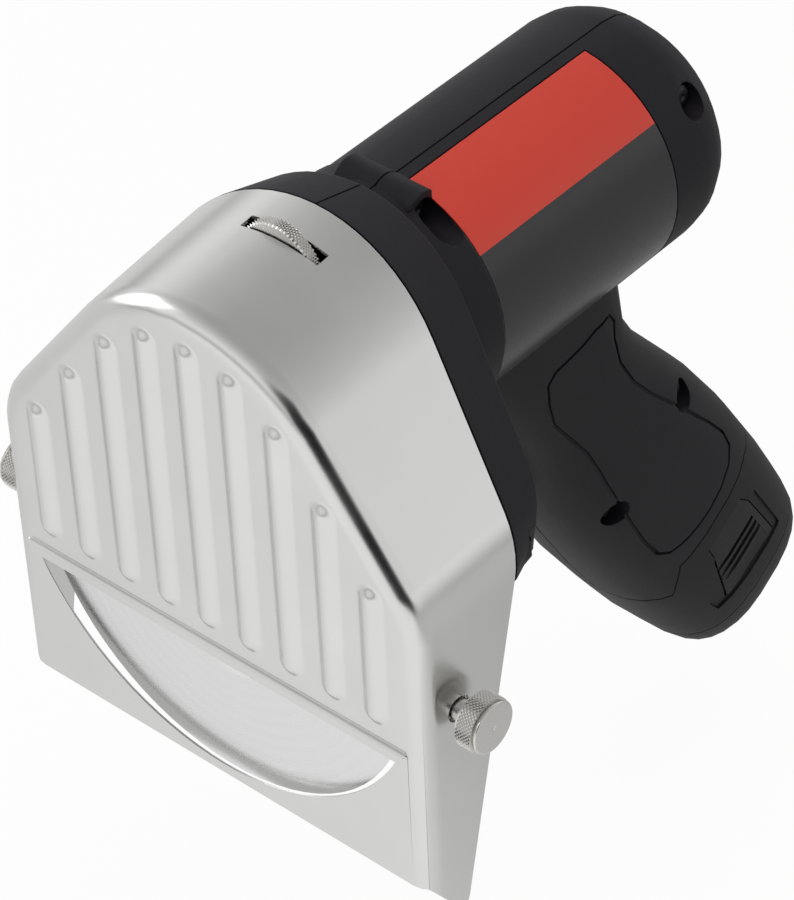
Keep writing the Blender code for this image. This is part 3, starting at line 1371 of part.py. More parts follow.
def build_buttons(case):
    """Two release buttons with grooved lower ends, each in a framed bed in the pack's side."""
    middle = BUTTON_TOP + BUTTON_LENGTH / 2
    front, rear, surface = grip_station(middle)
    outer = surface - BUTTON_SINK
    inner = outer - BUTTON_THICK
    floor = inner - BUTTON_TRAVEL - GAP
    top = BUTTON_TOP - CUT
    foot = BUTTON_TOP + BUTTON_LENGTH + 2 * CUT
    frame = make("frame", button_slab(FRAME_SHARES, -GUARD_HALF, GUARD_HALF))
    combine(frame, make("frame_floor", grip_loft(top, foot, FRAME_DEPTH)))
    combine(case, frame)
    for side, name in ((-1, "left"), (1, "right")):
        bed = button_slab(BUTTON_SHARES, side * floor, side * GUARD_HALF, GAP)
        combine(case, make("bed", bed))
        origin = grip_point(middle, 0, side * inner)
        plate = button_slab(BUTTON_SHARES, side * inner, side * GUARD_HALF)
        button = make(f"release_button_{name}", plate, BLACK, origin)
        combine(button, make("skin", grip_loft(top, foot, BUTTON_SINK)), "INTERSECT")
        x0, x1 = sorted((side * (outer - BUTTON_GROOVE), side * GUARD_HALF))
        for start, end in BUTTON_GROOVE_SHARES:
            low = (x0, BUTTON_TOP + start * BUTTON_LENGTH, -2 * BUTTON_HALF)
            high = (x1, BUTTON_TOP + end * BUTTON_LENGTH, BUTTON_HALF / 2)
            combine(button, make("groove", grip_block(low, high)))


def build_contacts():
    """Block above the pack whose three blades reach into the pack's tower."""
    base = STICK_TOP - TOWER_HEIGHT - GAP
    low = (-TOWER_HALF, base - TOWER_HEIGHT, -TOWER_DEPTH)
    high = (TOWER_HALF, base, TOWER_DEPTH)
    contacts = make("contact_block", grip_block(low, high), BRASS)
    for k in (-1, 0, 1):
        x = k * CONTACT_PITCH
        low = (x - CONTACT_THICK / 2, base - GAP, -TOWER_DEPTH * 0.7)
        high = (x + CONTACT_THICK / 2, base + TOWER_HEIGHT * 0.7, TOWER_DEPTH * 0.7)
        combine(contacts, make("blade", grip_block(low, high)), "UNION")


clear_scene()
build_guard()
web_back, screw_end = build_blade()
race_front, gear_front, gear_back = build_shaft(web_back, screw_end)
build_gears(gear_front, gear_back)
floor_back = build_gearbox(race_front, gear_back)
build_bracket()
build_thumb_screws()
build_wheel()
build_motor(floor_back)
split_housing(build_housing(build_cavity(floor_back, gear_back)))
build_case_screws()
inner = BARREL_R - LABEL_SINK + GAP / 2
make("label_sheet", label_solid(inner, inner + LABEL_THICK, 0.0), LABEL)
build_trigger()
build_battery()
build_contacts()
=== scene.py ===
# %% [markdown]
# # A cordless kebab slicer
# The real tool is a round blade behind a folded steel guard, driven by a motor in a
# moulded housing with a pistol grip. The working model comes in as a fixed frame, and
# this script gives it its surfaces: pressed ribs, knurling, rounded edges and finishes.
# Everything is in metres. X runs across the tool, Y back along the motor and Z up.

# %% Load the working model
import json
import math

import bpy
from mathutils import Matrix, Vector


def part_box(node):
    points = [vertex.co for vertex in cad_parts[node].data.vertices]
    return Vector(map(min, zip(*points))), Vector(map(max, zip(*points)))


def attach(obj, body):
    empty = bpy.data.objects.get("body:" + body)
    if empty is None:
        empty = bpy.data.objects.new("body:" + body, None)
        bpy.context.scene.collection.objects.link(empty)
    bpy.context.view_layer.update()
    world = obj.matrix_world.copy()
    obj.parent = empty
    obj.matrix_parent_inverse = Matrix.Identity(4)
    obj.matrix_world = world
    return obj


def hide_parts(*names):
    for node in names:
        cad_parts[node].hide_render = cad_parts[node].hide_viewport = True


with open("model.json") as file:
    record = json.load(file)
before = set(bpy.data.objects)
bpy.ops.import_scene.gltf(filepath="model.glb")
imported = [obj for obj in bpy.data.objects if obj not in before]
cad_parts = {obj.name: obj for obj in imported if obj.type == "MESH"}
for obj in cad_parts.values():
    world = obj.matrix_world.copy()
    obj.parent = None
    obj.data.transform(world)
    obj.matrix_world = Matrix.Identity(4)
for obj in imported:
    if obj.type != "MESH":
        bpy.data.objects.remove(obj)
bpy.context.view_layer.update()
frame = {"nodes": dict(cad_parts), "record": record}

MM = 0.001
HAIR = 0.01 * MM
print("nodes in the frame:", len(frame["nodes"]))

# %% [markdown]
# ## Camera
# The photograph looks down on the tool from the front right with a long lens, so the
# guard's edges stay almost parallel. The place, the view direction and the lens were
# solved from the guard's straight edges and its evenly spaced ribs. A matrix of right,
# up and back vectors turns the camera, which is exact at any roll.

# %% Place the camera
CAMERA_PLACE = Vector((0.42115995, -0.40340115, 0.53504116))
CAMERA_FORWARD = Vector((-0.51065016, 0.56297714, -0.64984086))
CAMERA_UP = Vector((-0.40131506, 0.51236151, 0.75923113))
CAMERA_LENS = 155.5964

lens = bpy.data.cameras.new("portrait_lens")
lens.lens = CAMERA_LENS
lens.sensor_fit = "AUTO"
lens.sensor_width = 36.0
lens.clip_start = 0.05
lens.clip_end = 20.0
camera = bpy.data.objects.new("portrait_camera", lens)
bpy.context.scene.collection.objects.link(camera)
right = CAMERA_FORWARD.cross(CAMERA_UP).normalized()
turn = Matrix((right, CAMERA_UP.normalized(), -CAMERA_FORWARD.normalized())).transposed()
camera.matrix_world = Matrix.Translation(CAMERA_PLACE) @ turn.to_4x4()
bpy.context.scene.camera = camera
print("camera distance to the blade:", round(CAMERA_PLACE.length, 3), "m")

# %% [markdown]
# ## Colours and nodes
# A colour picked from a screen is an sRGB value, while a shader works on linear light,
# so one function turns a hex value into linear numbers. A second adds any node, fills
# its settings and joins its inputs. A third begins a finish, and a fourth presses a
# pattern into it: most real surfaces differ from a perfect one only in how their shine
# and their height wander over fractions of a millimetre.

# %% Colour and node helpers
def linear(code):
    """Linear colour of an sRGB hex value."""
    channels = [int(code[i:i + 2], 16) / 255 for i in (1, 3, 5)]
    light = [c / 12.92 if c <= 0.04045 else ((c + 0.055) / 1.055) ** 2.4 for c in channels]
    return (*light, 1.0)


def add(tree, kind, settings=None, **sockets):
    """Adds a node, sets its properties, and fills or links its sockets by name or number."""
    node = tree.nodes.new(kind)
    for key, value in (settings or {}).items():
        setattr(node, key, value)
    for key, value in sockets.items():
        index = int(key[1:]) if key[0] == "i" and key[1:].isdigit() else key.replace("_", " ")
        if isinstance(value, bpy.types.NodeSocket):
            tree.links.new(value, node.inputs[index])
        else:
            node.inputs[index].default_value = value
    return node


print("mid grey in linear light:", round(linear("#808080")[0], 3))

# %% Begin a finish and press a pattern into it
def start_finish(name, colour, metallic, **sockets):
    """A Principled material with its Object coordinates ready for patterns."""
    material = bpy.data.materials.new(name)
    material.use_nodes = True
    tree = material.node_tree
    shader = tree.nodes["Principled BSDF"]
    shader.inputs["Base Color"].default_value = linear(colour)
    shader.inputs["Metallic"].default_value = metallic
    for key, value in sockets.items():
        shader.inputs[key.replace("_", " ")].default_value = value
    place = tree.nodes.new("ShaderNodeTexCoord").outputs["Object"]
    return material, tree, shader, place


def press_in(tree, shader, shine, low, high, relief, depth, strength):
    """One pattern moves the roughness from low to high and one raises the surface."""
    rough = add(tree, "ShaderNodeMapRange", i0=shine, i1=0.25, i2=0.75, i3=low, i4=high)
    bump = add(tree, "ShaderNodeBump", Height=relief, Distance=depth, Strength=strength)
    tree.links.new(rough.outputs[0], shader.inputs["Roughness"])
    tree.links.new(bump.outputs["Normal"], shader.inputs["Normal"])

# %% [markdown]
# ## Pressed stainless steel
# The guard is a sheet of 18/8 stainless steel, pressed, folded and given a soft satin
# finish. The eye sees broad blurred reflections, a little cloudiness where the polishing
# belt pressed unevenly, and almost no grain. A metal takes its colour from its base
# colour, so the work is in the roughness: a slow cloud of about 18 mm and a fine grit.

# %% Satin steel sheet
CLOUD = 18 * MM
SATIN_GRIT = 0.35 * MM


def satin_steel():
    material, tree, shader, place = start_finish("satin_stainless_steel", "#D8D8D6", 1.0)
    cloud = add(tree, "ShaderNodeTexNoise", Vector=place, Scale=1 / CLOUD, Detail=2.0)
    grit = add(tree, "ShaderNodeTexNoise", Vector=place, Scale=1 / SATIN_GRIT, Detail=2.0)
    wander = cloud.outputs["Fac"]
    mixed = add(tree, "ShaderNodeMath", {"operation": "MULTIPLY_ADD"},
                i0=grit.outputs["Fac"], i1=0.35, i2=wander)
    tone = add(tree, "ShaderNodeMix", {"data_type": "RGBA"},
               i0=wander, i6=linear("#D2D2D1"), i7=linear("#DEDEDC"))
    tree.links.new(tone.outputs[2], shader.inputs["Base Color"])
    press_in(tree, shader, mixed.outputs[0], 0.15, 0.25, wander, 0.05 * MM, 0.6)
    return material


STEEL_SHEET = satin_steel()
print("made", STEEL_SHEET.name)

# %% [markdown]
# ## Ground blade steel
# The blade is hardened steel, ground flat while it turns, so its scratches are fine
# circles round its axis. Rings about the Y axis carry that. Real grinding marks are
# finer than a pixel here, so bands 3 mm apart are drawn instead, as coarse as they need
# to be to show. A wave texture goes through 20 radians in a distance of 1 / Scale.

# %% Blade steel
GRINDING_BAND = 3.1416 * MM
RADIANS_PER_SCALE = 20


def ground_steel():
    material, tree, shader, place = start_finish("ground_blade_steel", "#E2E2E2", 1.0)
    rings = add(tree, "ShaderNodeTexWave", {"wave_type": "RINGS", "rings_direction": "Y"},
                Vector=place, Scale=math.tau / (GRINDING_BAND * RADIANS_PER_SCALE),
                Distortion=1.5, Detail=2.0)
    ring = rings.outputs["Fac"]
    press_in(tree, shader, ring, 0.25, 0.29, ring, 0.001 * MM, 0.15)
    return material


BLADE_STEEL = ground_steel()
print("made", BLADE_STEEL.name)

# %% [markdown]
# ## Charcoal ABS
# The housing and the pack are injection-moulded ABS in a charcoal with a trace of
# violet. A spark-eroded mould gives the surface a fine matt grain of about 0.3 mm, so
# highlights are wide and grey. Patches of about 25 mm are rubbed a little smoother.

# %% Moulded plastic
MOULD_GRAIN = 0.32 * MM
RUBBED_PATCH = 25 * MM


def charcoal_abs(name, colour, low, high):
    material, tree, shader, place = start_finish(name, colour, 0.0, Specular_IOR_Level=0.28)
    fine = add(tree, "ShaderNodeTexNoise", Vector=place, Scale=1 / MOULD_GRAIN, Detail=2.0)
    patch = add(tree, "ShaderNodeTexNoise", Vector=place, Scale=1 / RUBBED_PATCH, Detail=2.0)
    mixed = add(tree, "ShaderNodeMath", {"operation": "MULTIPLY_ADD"},
                i0=patch.outputs["Fac"], i1=0.5, i2=fine.outputs["Fac"])
    press_in(tree, shader, mixed.outputs[0], low, high, fine.outputs["Fac"], 0.03 * MM, 0.7)
    return material


ABS = charcoal_abs("charcoal_abs_moulded", "#121015", 0.46, 0.6)
ABS_PACK = charcoal_abs("charcoal_abs_pack", "#100F13", 0.44, 0.58)
ABS_TRIGGER = charcoal_abs("black_abs_trigger", "#100F11", 0.38, 0.5)
print("made", ABS.name, ABS_PACK.name, ABS_TRIGGER.name)

# %% [markdown]
# ## Label film
# A polyester film is wrapped round the right of the barrel: warm red above, black below,
# left bare. The colours meet along the barrel, so the split is an angle round its axis.
# The film is satin and much smoother than the plastic round it.

# %% Two-colour film
BARREL_Z = 42 * MM
RED_FROM = math.radians(38.5)
FILM_GRAIN = 0.6 * MM


def label_film():
    material, tree, shader, place = start_finish("polyester_label_film", "#BC3323", 0.0,
                                                 Coat_Weight=0.15, Coat_Roughness=0.2)
    parts = add(tree, "ShaderNodeSeparateXYZ", Vector=place)
    rise = add(tree, "ShaderNodeMath", {"operation": "SUBTRACT"},
               i0=parts.outputs["Z"], i1=BARREL_Z)
    angle = add(tree, "ShaderNodeMath", {"operation": "ARCTAN2"},
                i0=rise.outputs[0], i1=parts.outputs["X"])
    above = add(tree, "ShaderNodeMath", {"operation": "GREATER_THAN"},
                i0=angle.outputs[0], i1=RED_FROM)
    tone = add(tree, "ShaderNodeMix", {"data_type": "RGBA"},
               i0=above.outputs[0], i6=linear("#171619"), i7=linear("#BC3323"))
    tree.links.new(tone.outputs[2], shader.inputs["Base Color"])
    fine = add(tree, "ShaderNodeTexNoise", Vector=place, Scale=1 / FILM_GRAIN, Detail=2.0)
    press_in(tree, shader, fine.outputs["Fac"], 0.3, 0.4, fine.outputs["Fac"], 0.01 * MM, 0.4)
    return material


LABEL_FILM = label_film()
print("made", LABEL_FILM.name)

# %% [markdown]
# ## Turned steel and what works inside
# Knobs, wheel, screws and shaft are free-cutting steel turned on a lathe and nickel
# plated: brighter and a little yellower than the sheet, with a fine frosted grain.
# Nylon gears, a die-cast cover, brass contacts, a circuit board and sleeved cells are
# seen only when the guard or the pack is away, yet each gets the finish it has. Each of
# these needs one grain only, so they share a function.

# %% Finishes with one grain
def plain_finish(name, colour, metallic, low, high, size, depth, detail=3.0):
    """A finish with one grain in its roughness and height."""
    material, tree, shader, place = start_finish(name, colour, metallic)
    noise = add(tree, "ShaderNodeTexNoise", Vector=place, Scale=1 / size, Detail=detail)
    fine = noise.outputs["Fac"]
    press_in(tree, shader, fine, low, high, fine, depth, 0.6)
    return material


FINE, RELIEF = 0.5 * MM, 0.01 * MM
TURNED_STEEL = plain_finish("nickel_plated_turned_steel", "#DCDBD8", 1.0, 0.22, 0.36,
                            0.25 * MM, RELIEF, detail=2.0)
# The case screws' near-black colour is painted shade for the dark bottoms of their holes.
SCREW_STEEL_PAINTED_SHADE = plain_finish("screw_steel_painted_dark_shade", "#3A3A3D", 1.0, 0.4, 0.55,
                           0.4 * MM, RELIEF)
INNER_STEEL = plain_finish("zinc_plated_steel", "#B9BCC0", 1.0, 0.28, 0.4, FINE, RELIEF)
NYLON = plain_finish("natural_nylon_moulded", "#D9D6CC", 0.0, 0.35, 0.5, FINE, RELIEF)
CAST_ALLOY = plain_finish("die_cast_aluminium", "#B4B6B8", 1.0, 0.34, 0.5,
                          0.6 * MM, 3 * RELIEF)
BRASS = plain_finish("stamped_brass", "#C9A25A", 1.0, 0.22, 0.34, 0.4 * MM, RELIEF)
CELL_SLEEVE = plain_finish("pvc_shrink_sleeve", "#2F6C93", 0.0, 0.3, 0.42,
                           2 * MM, 2 * RELIEF)
BOARD = plain_finish("lacquered_circuit_board", "#1F5A37", 0.0, 0.28, 0.45,
                     1 * MM, 2 * RELIEF)
print("materials so far:", len(bpy.data.materials))

# %% [markdown]
# Every node of the working model names a material slot. One table gives each slot its
# finish, so that no surface stays bare, the hidden ones included.

# %% Give every node a finish
FINISH_OF_SLOT = {
    "satin_steel": TURNED_STEEL, "polished_steel": BLADE_STEEL, "black_plastic": ABS,
    "white_nylon": NYLON, "cast_alloy": CAST_ALLOY, "motor_case": INNER_STEEL,
    "cell_sleeve": CELL_SLEEVE, "contact_brass": BRASS, "circuit_board": BOARD,
    "label_film": LABEL_FILM,
}
slot_of = {entry["node"]: entry["material_slot"] for entry in frame["record"]["subparts"]}
bodies = frame["record"]["behaviour"]["bodies"]
body_of = {node: body for body, nodes in bodies.items() for node in nodes}
for node, thing in frame["nodes"].items():
    thing.data.materials.clear()
    thing.data.materials.append(FINISH_OF_SLOT[slot_of[node]])
print("finishes given to", len(frame["nodes"]), "nodes")

# %% [markdown]
# ## Working in edit mode
# Most of Blender's modelling operators act on what is selected. So one helper opens a
# mesh with only the vertices or faces that pass a test of their place or normal, as a
# person would pick them with the mouse.

# %% Selecting
def focus(thing):
    """Makes one object the only selected and active one."""
    bpy.ops.object.select_all(action="DESELECT")
    thing.select_set(True)
    bpy.context.view_layer.objects.active = thing


def pick(thing, kind, test):
    """Opens a mesh with only the chosen vertices (VERT) or faces (FACE) selected."""
    focus(thing)
    bpy.ops.object.mode_set(mode="EDIT")
    bpy.ops.mesh.select_mode(type=kind)
    bpy.ops.mesh.select_all(action="DESELECT")
    bpy.ops.object.mode_set(mode="OBJECT")
    chosen = [e for e in (thing.data.vertices if kind == "VERT" else thing.data.polygons)
              if test(e)]
    for element in chosen:
        element.select = True
    bpy.ops.object.mode_set(mode="EDIT")
    return len(chosen)


def wrap_up(thing):
    """Turns every face outwards and leaves edit mode."""
    bpy.ops.mesh.select_all(action="SELECT")
    bpy.ops.mesh.normals_make_consistent(inside=False)
    bpy.ops.object.mode_set(mode="OBJECT")
    return thing


print("loose triangles in the guard:", len(frame["nodes"]["guard_shell"].data.polygons))

# %% [markdown]
# A node of the working model is made of loose triangles. A visible piece is a copy of
# it, welded, with flat areas merged, then with its edges rounded and its shading set, as
# no moulded or turned edge is truly sharp. Each piece rides with the body it belongs to.

# %% Copy, round, shade and dress
def copy_of(node, name, merge_flats=True):
    """A copy of a node's mesh under a new name, welded."""
    thing = bpy.data.objects.new(name, frame["nodes"][node].data.copy())
    bpy.context.scene.collection.objects.link(thing)
    focus(thing)
    bpy.ops.object.mode_set(mode="EDIT")
    bpy.ops.mesh.select_all(action="SELECT")
    bpy.ops.mesh.customdata_custom_splitnormals_clear()
    bpy.ops.mesh.remove_doubles(threshold=HAIR)
    if merge_flats:
        bpy.ops.mesh.dissolve_limited(angle_limit=math.radians(0.4))
    bpy.ops.object.mode_set(mode="OBJECT")
    return thing


def soften(thing, width, limit=32.0):
    """Rounds every edge sharper than a limit in degrees."""
    focus(thing)
    edge = thing.modifiers.new("rounded_edges", "BEVEL")
    edge.width = width
    edge.segments = 2
    edge.limit_method = "ANGLE"
    edge.angle_limit = math.radians(limit)
    edge.use_clamp_overlap = False
    edge.miter_outer = "MITER_ARC"
    bpy.ops.object.modifier_apply(modifier=edge.name)


def shade(thing, angle=35.0):
    """Smooth shading below an angle, with normals weighted by face area."""
    focus(thing)
    bpy.ops.object.shade_smooth_by_angle(angle=math.radians(angle))
    weigh = thing.modifiers.new("weighted_normals", "WEIGHTED_NORMAL")
    weigh.keep_sharp = True
    for modifier in list(thing.modifiers):
        bpy.ops.object.modifier_apply(modifier=modifier.name)


def dress(thing, node, finish):
    """Gives a piece its finish and hands it the node's place in the model."""
    thing.data.materials.clear()
    thing.data.materials.append(finish)
    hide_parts(node)
    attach(thing, body_of[node])
    print(thing.name, "faces:", len(thing.data.polygons))

# %% [markdown]
# ## The guard
# On the real tool a sheet is pressed in a die: nine ribs rise from the plate so that the
# meat glides, a bead stiffens the edge over the crescent slot, and the rim is folded
# back. The working model has the right folds but only stepped ribs, so these are taken
# off here, the flat of the plate is cut out, and finer ribs are pressed in its place.
# The bead is lifted to twice its height, so that it catches the light from the front.

# %% Clear the plate and lift the bead
PLATE_Y = 1.5 * MM
PLATE_FOOT = -12.3 * MM
RIBS_ABOVE = -10.5 * MM
BEAD_ABOVE = -16 * MM
BEAD_LIFT = 2.1

guard = copy_of("guard_shell", "pressed_guard", merge_flats=False)
pick(guard, "VERT", lambda v: v.co.y < PLATE_Y - HAIR and v.co.z > RIBS_ABOVE)
bpy.ops.mesh.delete(type="VERT")
bpy.ops.object.mode_set(mode="OBJECT")
pick(guard, "VERT", lambda v: v.co.y < PLATE_Y - HAIR and v.co.z > BEAD_ABOVE)
bpy.ops.transform.resize(value=(1, BEAD_LIFT, 1), center_override=(0, PLATE_Y, 0))
bpy.ops.object.mode_set(mode="OBJECT")
flat = {v.index for v in guard.data.vertices if abs(v.co.y - PLATE_Y) < HAIR}
cut = pick(guard, "FACE", lambda f: f.center.z > PLATE_FOOT and flat.issuperset(f.vertices))
bpy.ops.mesh.delete(type="FACE")
print("faces cut from the plate:", cut)

# %% [markdown]
# Each rib starts as a plane of its size. Rounding the plane's four corners by half its
# width makes them meet at the tips, which gives the slot shape of a die. The open edges
# of the plate and of the nine slot shapes are then filled together, which leaves the
# slot shapes themselves as they are.

# %% Lay out the ribs
RIB_PITCH = 11.27 * MM
RIB_HALF = 3.7 * MM
RIB_FOOT = -9.1 * MM
RIB_TOPS = (66.7, 65.0, 57.6, 44.1, 28.9)
CORNER_STEPS = 7

for count in range(-4, 5):
    top = RIB_TOPS[abs(count)] * MM
    middle = Vector((count * RIB_PITCH, PLATE_Y, (top + RIB_FOOT) / 2))
    bpy.ops.mesh.primitive_plane_add(size=1.0, location=middle, rotation=(math.pi / 2, 0, 0))
    bpy.ops.transform.resize(value=(2 * RIB_HALF, 1, top - RIB_FOOT), center_override=middle)
    bpy.ops.mesh.bevel(offset=RIB_HALF, segments=CORNER_STEPS, affect="VERTICES")
    bpy.ops.mesh.remove_doubles(threshold=HAIR)
bpy.ops.mesh.select_mode(type="EDGE")
bpy.ops.mesh.select_all(action="DESELECT")
bpy.ops.mesh.select_non_manifold(extend=False, use_wire=True, use_boundary=True,
                                 use_multi_face=False, use_non_contiguous=False,
                                 use_verts=False)
bpy.ops.mesh.fill(use_beauty=True)
wrap_up(guard)
slots = sum(len(f.vertices) > 4 * CORNER_STEPS for f in guard.data.polygons)
print("slot shapes in the plate:", slots)

# %% [markdown]
# The nine slot shapes are inset again and again, each time a little further out, along
# an S: gentle at the foot, steep on the flank, gentle at the crest. That is the line
# sheet takes between a punch and a die. Each row of the table is how far in from the
# outline and how far out of the plate, in millimetres.

# %% Press the ribs
RIB_SECTION = ((0.0, 0.0), (0.3, 0.03), (0.6, 0.11), (0.9, 0.23), (1.3, 0.45), (1.7, 0.7),
               (2.1, 0.95), (2.5, 1.17), (2.9, 1.34), (3.3, 1.45), (3.6, 1.49))

pick(guard, "FACE", lambda f: len(f.vertices) > 4 * CORNER_STEPS)
for (inset, rise), (next_inset, next_rise) in zip(RIB_SECTION, RIB_SECTION[1:]):
    bpy.ops.mesh.inset(thickness=(next_inset - inset) * MM, depth=(next_rise - rise) * MM,
                       use_even_offset=False)
wrap_up(guard)
print("rib crest at y:", round(min(v.co.y for v in guard.data.vertices) / MM, 3), "mm")
soften(guard, 0.14 * MM, 50.0)
shade(guard, 40.0)
dress(guard, "guard_shell", STEEL_SHEET)

# %% [markdown]
# ## Turned and knurled pieces
# The thumb screws and the thickness wheel are turned, then a pair of knurling rolls
# presses crossing grooves into them. Here a chain of edges is drawn along the lathe
# profile and spun once round the axis. In the knurled band every second vertex of a row
# is then pressed in, and the next row swaps them. Cutting each square there along its
# shorter diagonal, which joins the two low corners, leaves small pyramids.

# %% Lathe
def turned(name, start, axis, across, profile, count):
    """Spins a profile of (distance, radius, knurled) round an axis and caps its ends."""
    bpy.ops.mesh.primitive_plane_add(size=MM)
    thing = bpy.context.object
    thing.name = thing.data.name = name
    bpy.ops.object.mode_set(mode="EDIT")
    bpy.ops.mesh.select_mode(type="VERT")
    bpy.ops.mesh.select_all(action="SELECT")
    bpy.ops.mesh.merge(type="CENTER")
    points = [start + axis * distance + across * radius for distance, radius, _ in profile]
    bpy.ops.transform.translate(value=points[0])
    for point, after in zip(points, points[1:]):
        bpy.ops.mesh.extrude_vertices_move(TRANSFORM_OT_translate={"value": after - point})
    bpy.ops.mesh.select_all(action="SELECT")
    bpy.ops.mesh.spin(steps=count, angle=math.tau, center=start, axis=axis)
    bpy.ops.mesh.select_all(action="SELECT")
    bpy.ops.mesh.remove_doubles(threshold=0.1 * HAIR)
    bpy.ops.mesh.fill_holes(sides=0)
    return wrap_up(thing)

# %% Knurling rolls
def knurl(thing, start, axis, across, profile, count, depth):
    """Presses every second vertex of the knurled rows in and cuts the squares to match."""
    third = axis.cross(across)
    rows = {row: distance for row, (distance, _, knurled) in enumerate(profile) if knurled}
    radius = profile[min(rows)][1]

    def goes_in(vertex):
        place = vertex.co - start
        column = round(math.atan2(place.dot(third), place.dot(across)) * count / math.tau)
        row = min(rows, key=lambda r: abs(rows[r] - place.dot(axis)))
        return abs(rows[row] - place.dot(axis)) < HAIR and (row + column) % 2 == 1

    press = (radius - depth) / radius
    pick(thing, "VERT", goes_in)
    bpy.ops.transform.resize(value=[1.0 if along else press for along in axis],
                             center_override=start)
    bpy.ops.object.mode_set(mode="OBJECT")
    first, last = min(rows.values()), max(rows.values())
    pick(thing, "FACE", lambda f: first < (f.center - start).dot(axis) < last)
    bpy.ops.mesh.quads_convert_to_tris(quad_method="SHORTEST_DIAGONAL")
    wrap_up(thing)
    shade(thing, 22.0)

# %% [markdown]
# A thumb screw's head has a knurled band, a narrow groove and a smooth face with a
# rounded edge and the small centre mark that the lathe's tailstock leaves.

# %% Thumb screws
KNOB_R = 6.3
KNOB_ROWS = 10
KNOB_COUNT = 88
KNOB_DEPTH = 0.3 * MM
KNOB_Y, KNOB_Z = 11.8 * MM, -4.6 * MM

knob_profile = [(0.0, 4.2, False), (0.02, 5.5, False), (0.3, 5.9, False)]
knob_profile += [(0.4 + 0.42 * row, KNOB_R, True) for row in range(KNOB_ROWS)]
knob_profile += [(distance, radius, False) for distance, radius in (
    (4.28, 5.75), (4.36, 5.3), (4.62, 5.3), (4.7, 5.62), (4.86, 5.86), (5.08, 5.92),
    (5.26, 5.84), (5.37, 5.62), (5.4, 5.3), (5.4, 0.75), (5.36, 0.62), (5.1, 0.3))]
knob_profile = [(distance * MM, radius * MM, knurled) for distance, radius, knurled in knob_profile]
for side, sign in (("left", -1), ("right", 1)):
    low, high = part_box("thumb_knob_" + side)
    start = Vector((low.x if sign > 0 else high.x, KNOB_Y, KNOB_Z))
    axis, across = Vector((sign, 0, 0)), Vector((0, 0, 1))
    knob = turned("knurled_knob_" + side, start, axis, across, knob_profile, KNOB_COUNT)
    knurl(knob, start, axis, across, knob_profile, KNOB_COUNT, KNOB_DEPTH)
    dress(knob, "thumb_knob_" + side, TURNED_STEEL)

# %% [markdown]
# The thickness wheel is a thin disc whose rim alone is knurled, more coarsely, because
# a wet finger turns it through the slot in the guard.

# %% Thickness wheel
WHEEL_ROWS = 7
WHEEL_COUNT = 120
WHEEL_DEPTH = 0.42 * MM
WHEEL_EDGE = 0.35 * MM
WHEEL_BORE = 2.2 * MM

low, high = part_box("thickness_wheel")
thick, radius = high.y - low.y, (high.z - low.z) / 2
side_profile = [(0.0, WHEEL_BORE), (0.0, radius - 1.0 * MM), (0.06 * MM, radius - 0.6 * MM)]
row_step = (thick - 2 * WHEEL_EDGE) / (WHEEL_ROWS - 1)
wheel_profile = [(distance, reach, False) for distance, reach in side_profile]
wheel_profile += [(WHEEL_EDGE + row_step * row, radius, True) for row in range(WHEEL_ROWS)]
wheel_profile += [(thick - distance, reach, False) for distance, reach in side_profile[::-1]]
start, axis, across = Vector((0, low.y, (low.z + high.z) / 2)), Vector((0, 1, 0)), Vector((0, 0, 1))
wheel = turned("knurled_wheel", start, axis, across, wheel_profile, WHEEL_COUNT)
knurl(wheel, start, axis, across, wheel_profile, WHEEL_COUNT, WHEEL_DEPTH)
dress(wheel, "thickness_wheel", TURNED_STEEL)

# %% [markdown]
# ## Moulded pieces
# The two housing halves, the pack, the release buttons and the trigger come from moulds
# with small radii on every edge: about 0.2 mm where the halves meet, so that the seam
# reads as a fine dark line with two soft lips, and more on the trigger, where a finger
# rests.

# %% Housing, pack, buttons and trigger
def rounded_copy(node, finish, width, angle=35.0):
    """A node as a visible piece: copied, rounded, shaded, dressed."""
    thing = copy_of(node, node + "_surface")
    if width:
        soften(thing, width)
    shade(thing, angle)
    dress(thing, node, finish)


for node, finish, width in (("housing_left", ABS, 0.22), ("housing_right", ABS, 0.22),
                            ("battery_case", ABS_PACK, 0.2),
                            ("release_button_left", ABS_TRIGGER, 0.12),
                            ("release_button_right", ABS_TRIGGER, 0.12),
                            ("trigger", ABS_TRIGGER, 0.6)):
    rounded_copy(node, finish, width * MM)

# %% [markdown]
# The pack's base is a lid with a low tongue that stands inside the case, so that no
# light or grease passes the seam. The lid's top is inset twice, once for the lid's rim
# and once for the tongue's thin flank, and the middle is then raised along the grip.

# %% Base with its tongue
GRIP_UP = Vector((0, -0.54464, 0.83867))
TONGUE_RIM = 0.7 * MM
TONGUE_FLANK = 0.1 * MM
TONGUE_RISE = 0.29 * MM

base = copy_of("battery_base", "battery_base_surface")
lid = max(v.co.dot(GRIP_UP) for v in base.data.vertices) - 0.2 * MM
pick(base, "FACE", lambda f: f.normal.dot(GRIP_UP) > 0.99 and f.center.dot(GRIP_UP) > lid)
for thickness in (TONGUE_RIM, TONGUE_FLANK):
    bpy.ops.mesh.inset(thickness=thickness, depth=0.0, use_even_offset=False)
bpy.ops.transform.translate(value=GRIP_UP * TONGUE_RISE)
bpy.ops.object.mode_set(mode="OBJECT")
soften(base, 0.25 * MM, 40.0)
shade(base)
dress(base, "battery_base", ABS_PACK)

# %% [markdown]
# ## Blade, screws and label
# The blade's dished back, bevel and bore keep their shape and only lose their facets.
# The screws and studs get a hair of rounding where the lathe broke the edges. The case
# screws are coloured near black as painted shade, so that they hardly show at the bottom
# of their shaded holes. The film is 0.25 mm thick, so a rounding of its edge would eat
# it: it is only shaded.

# %% Small pieces
EDGE_BREAK = 0.08 * MM

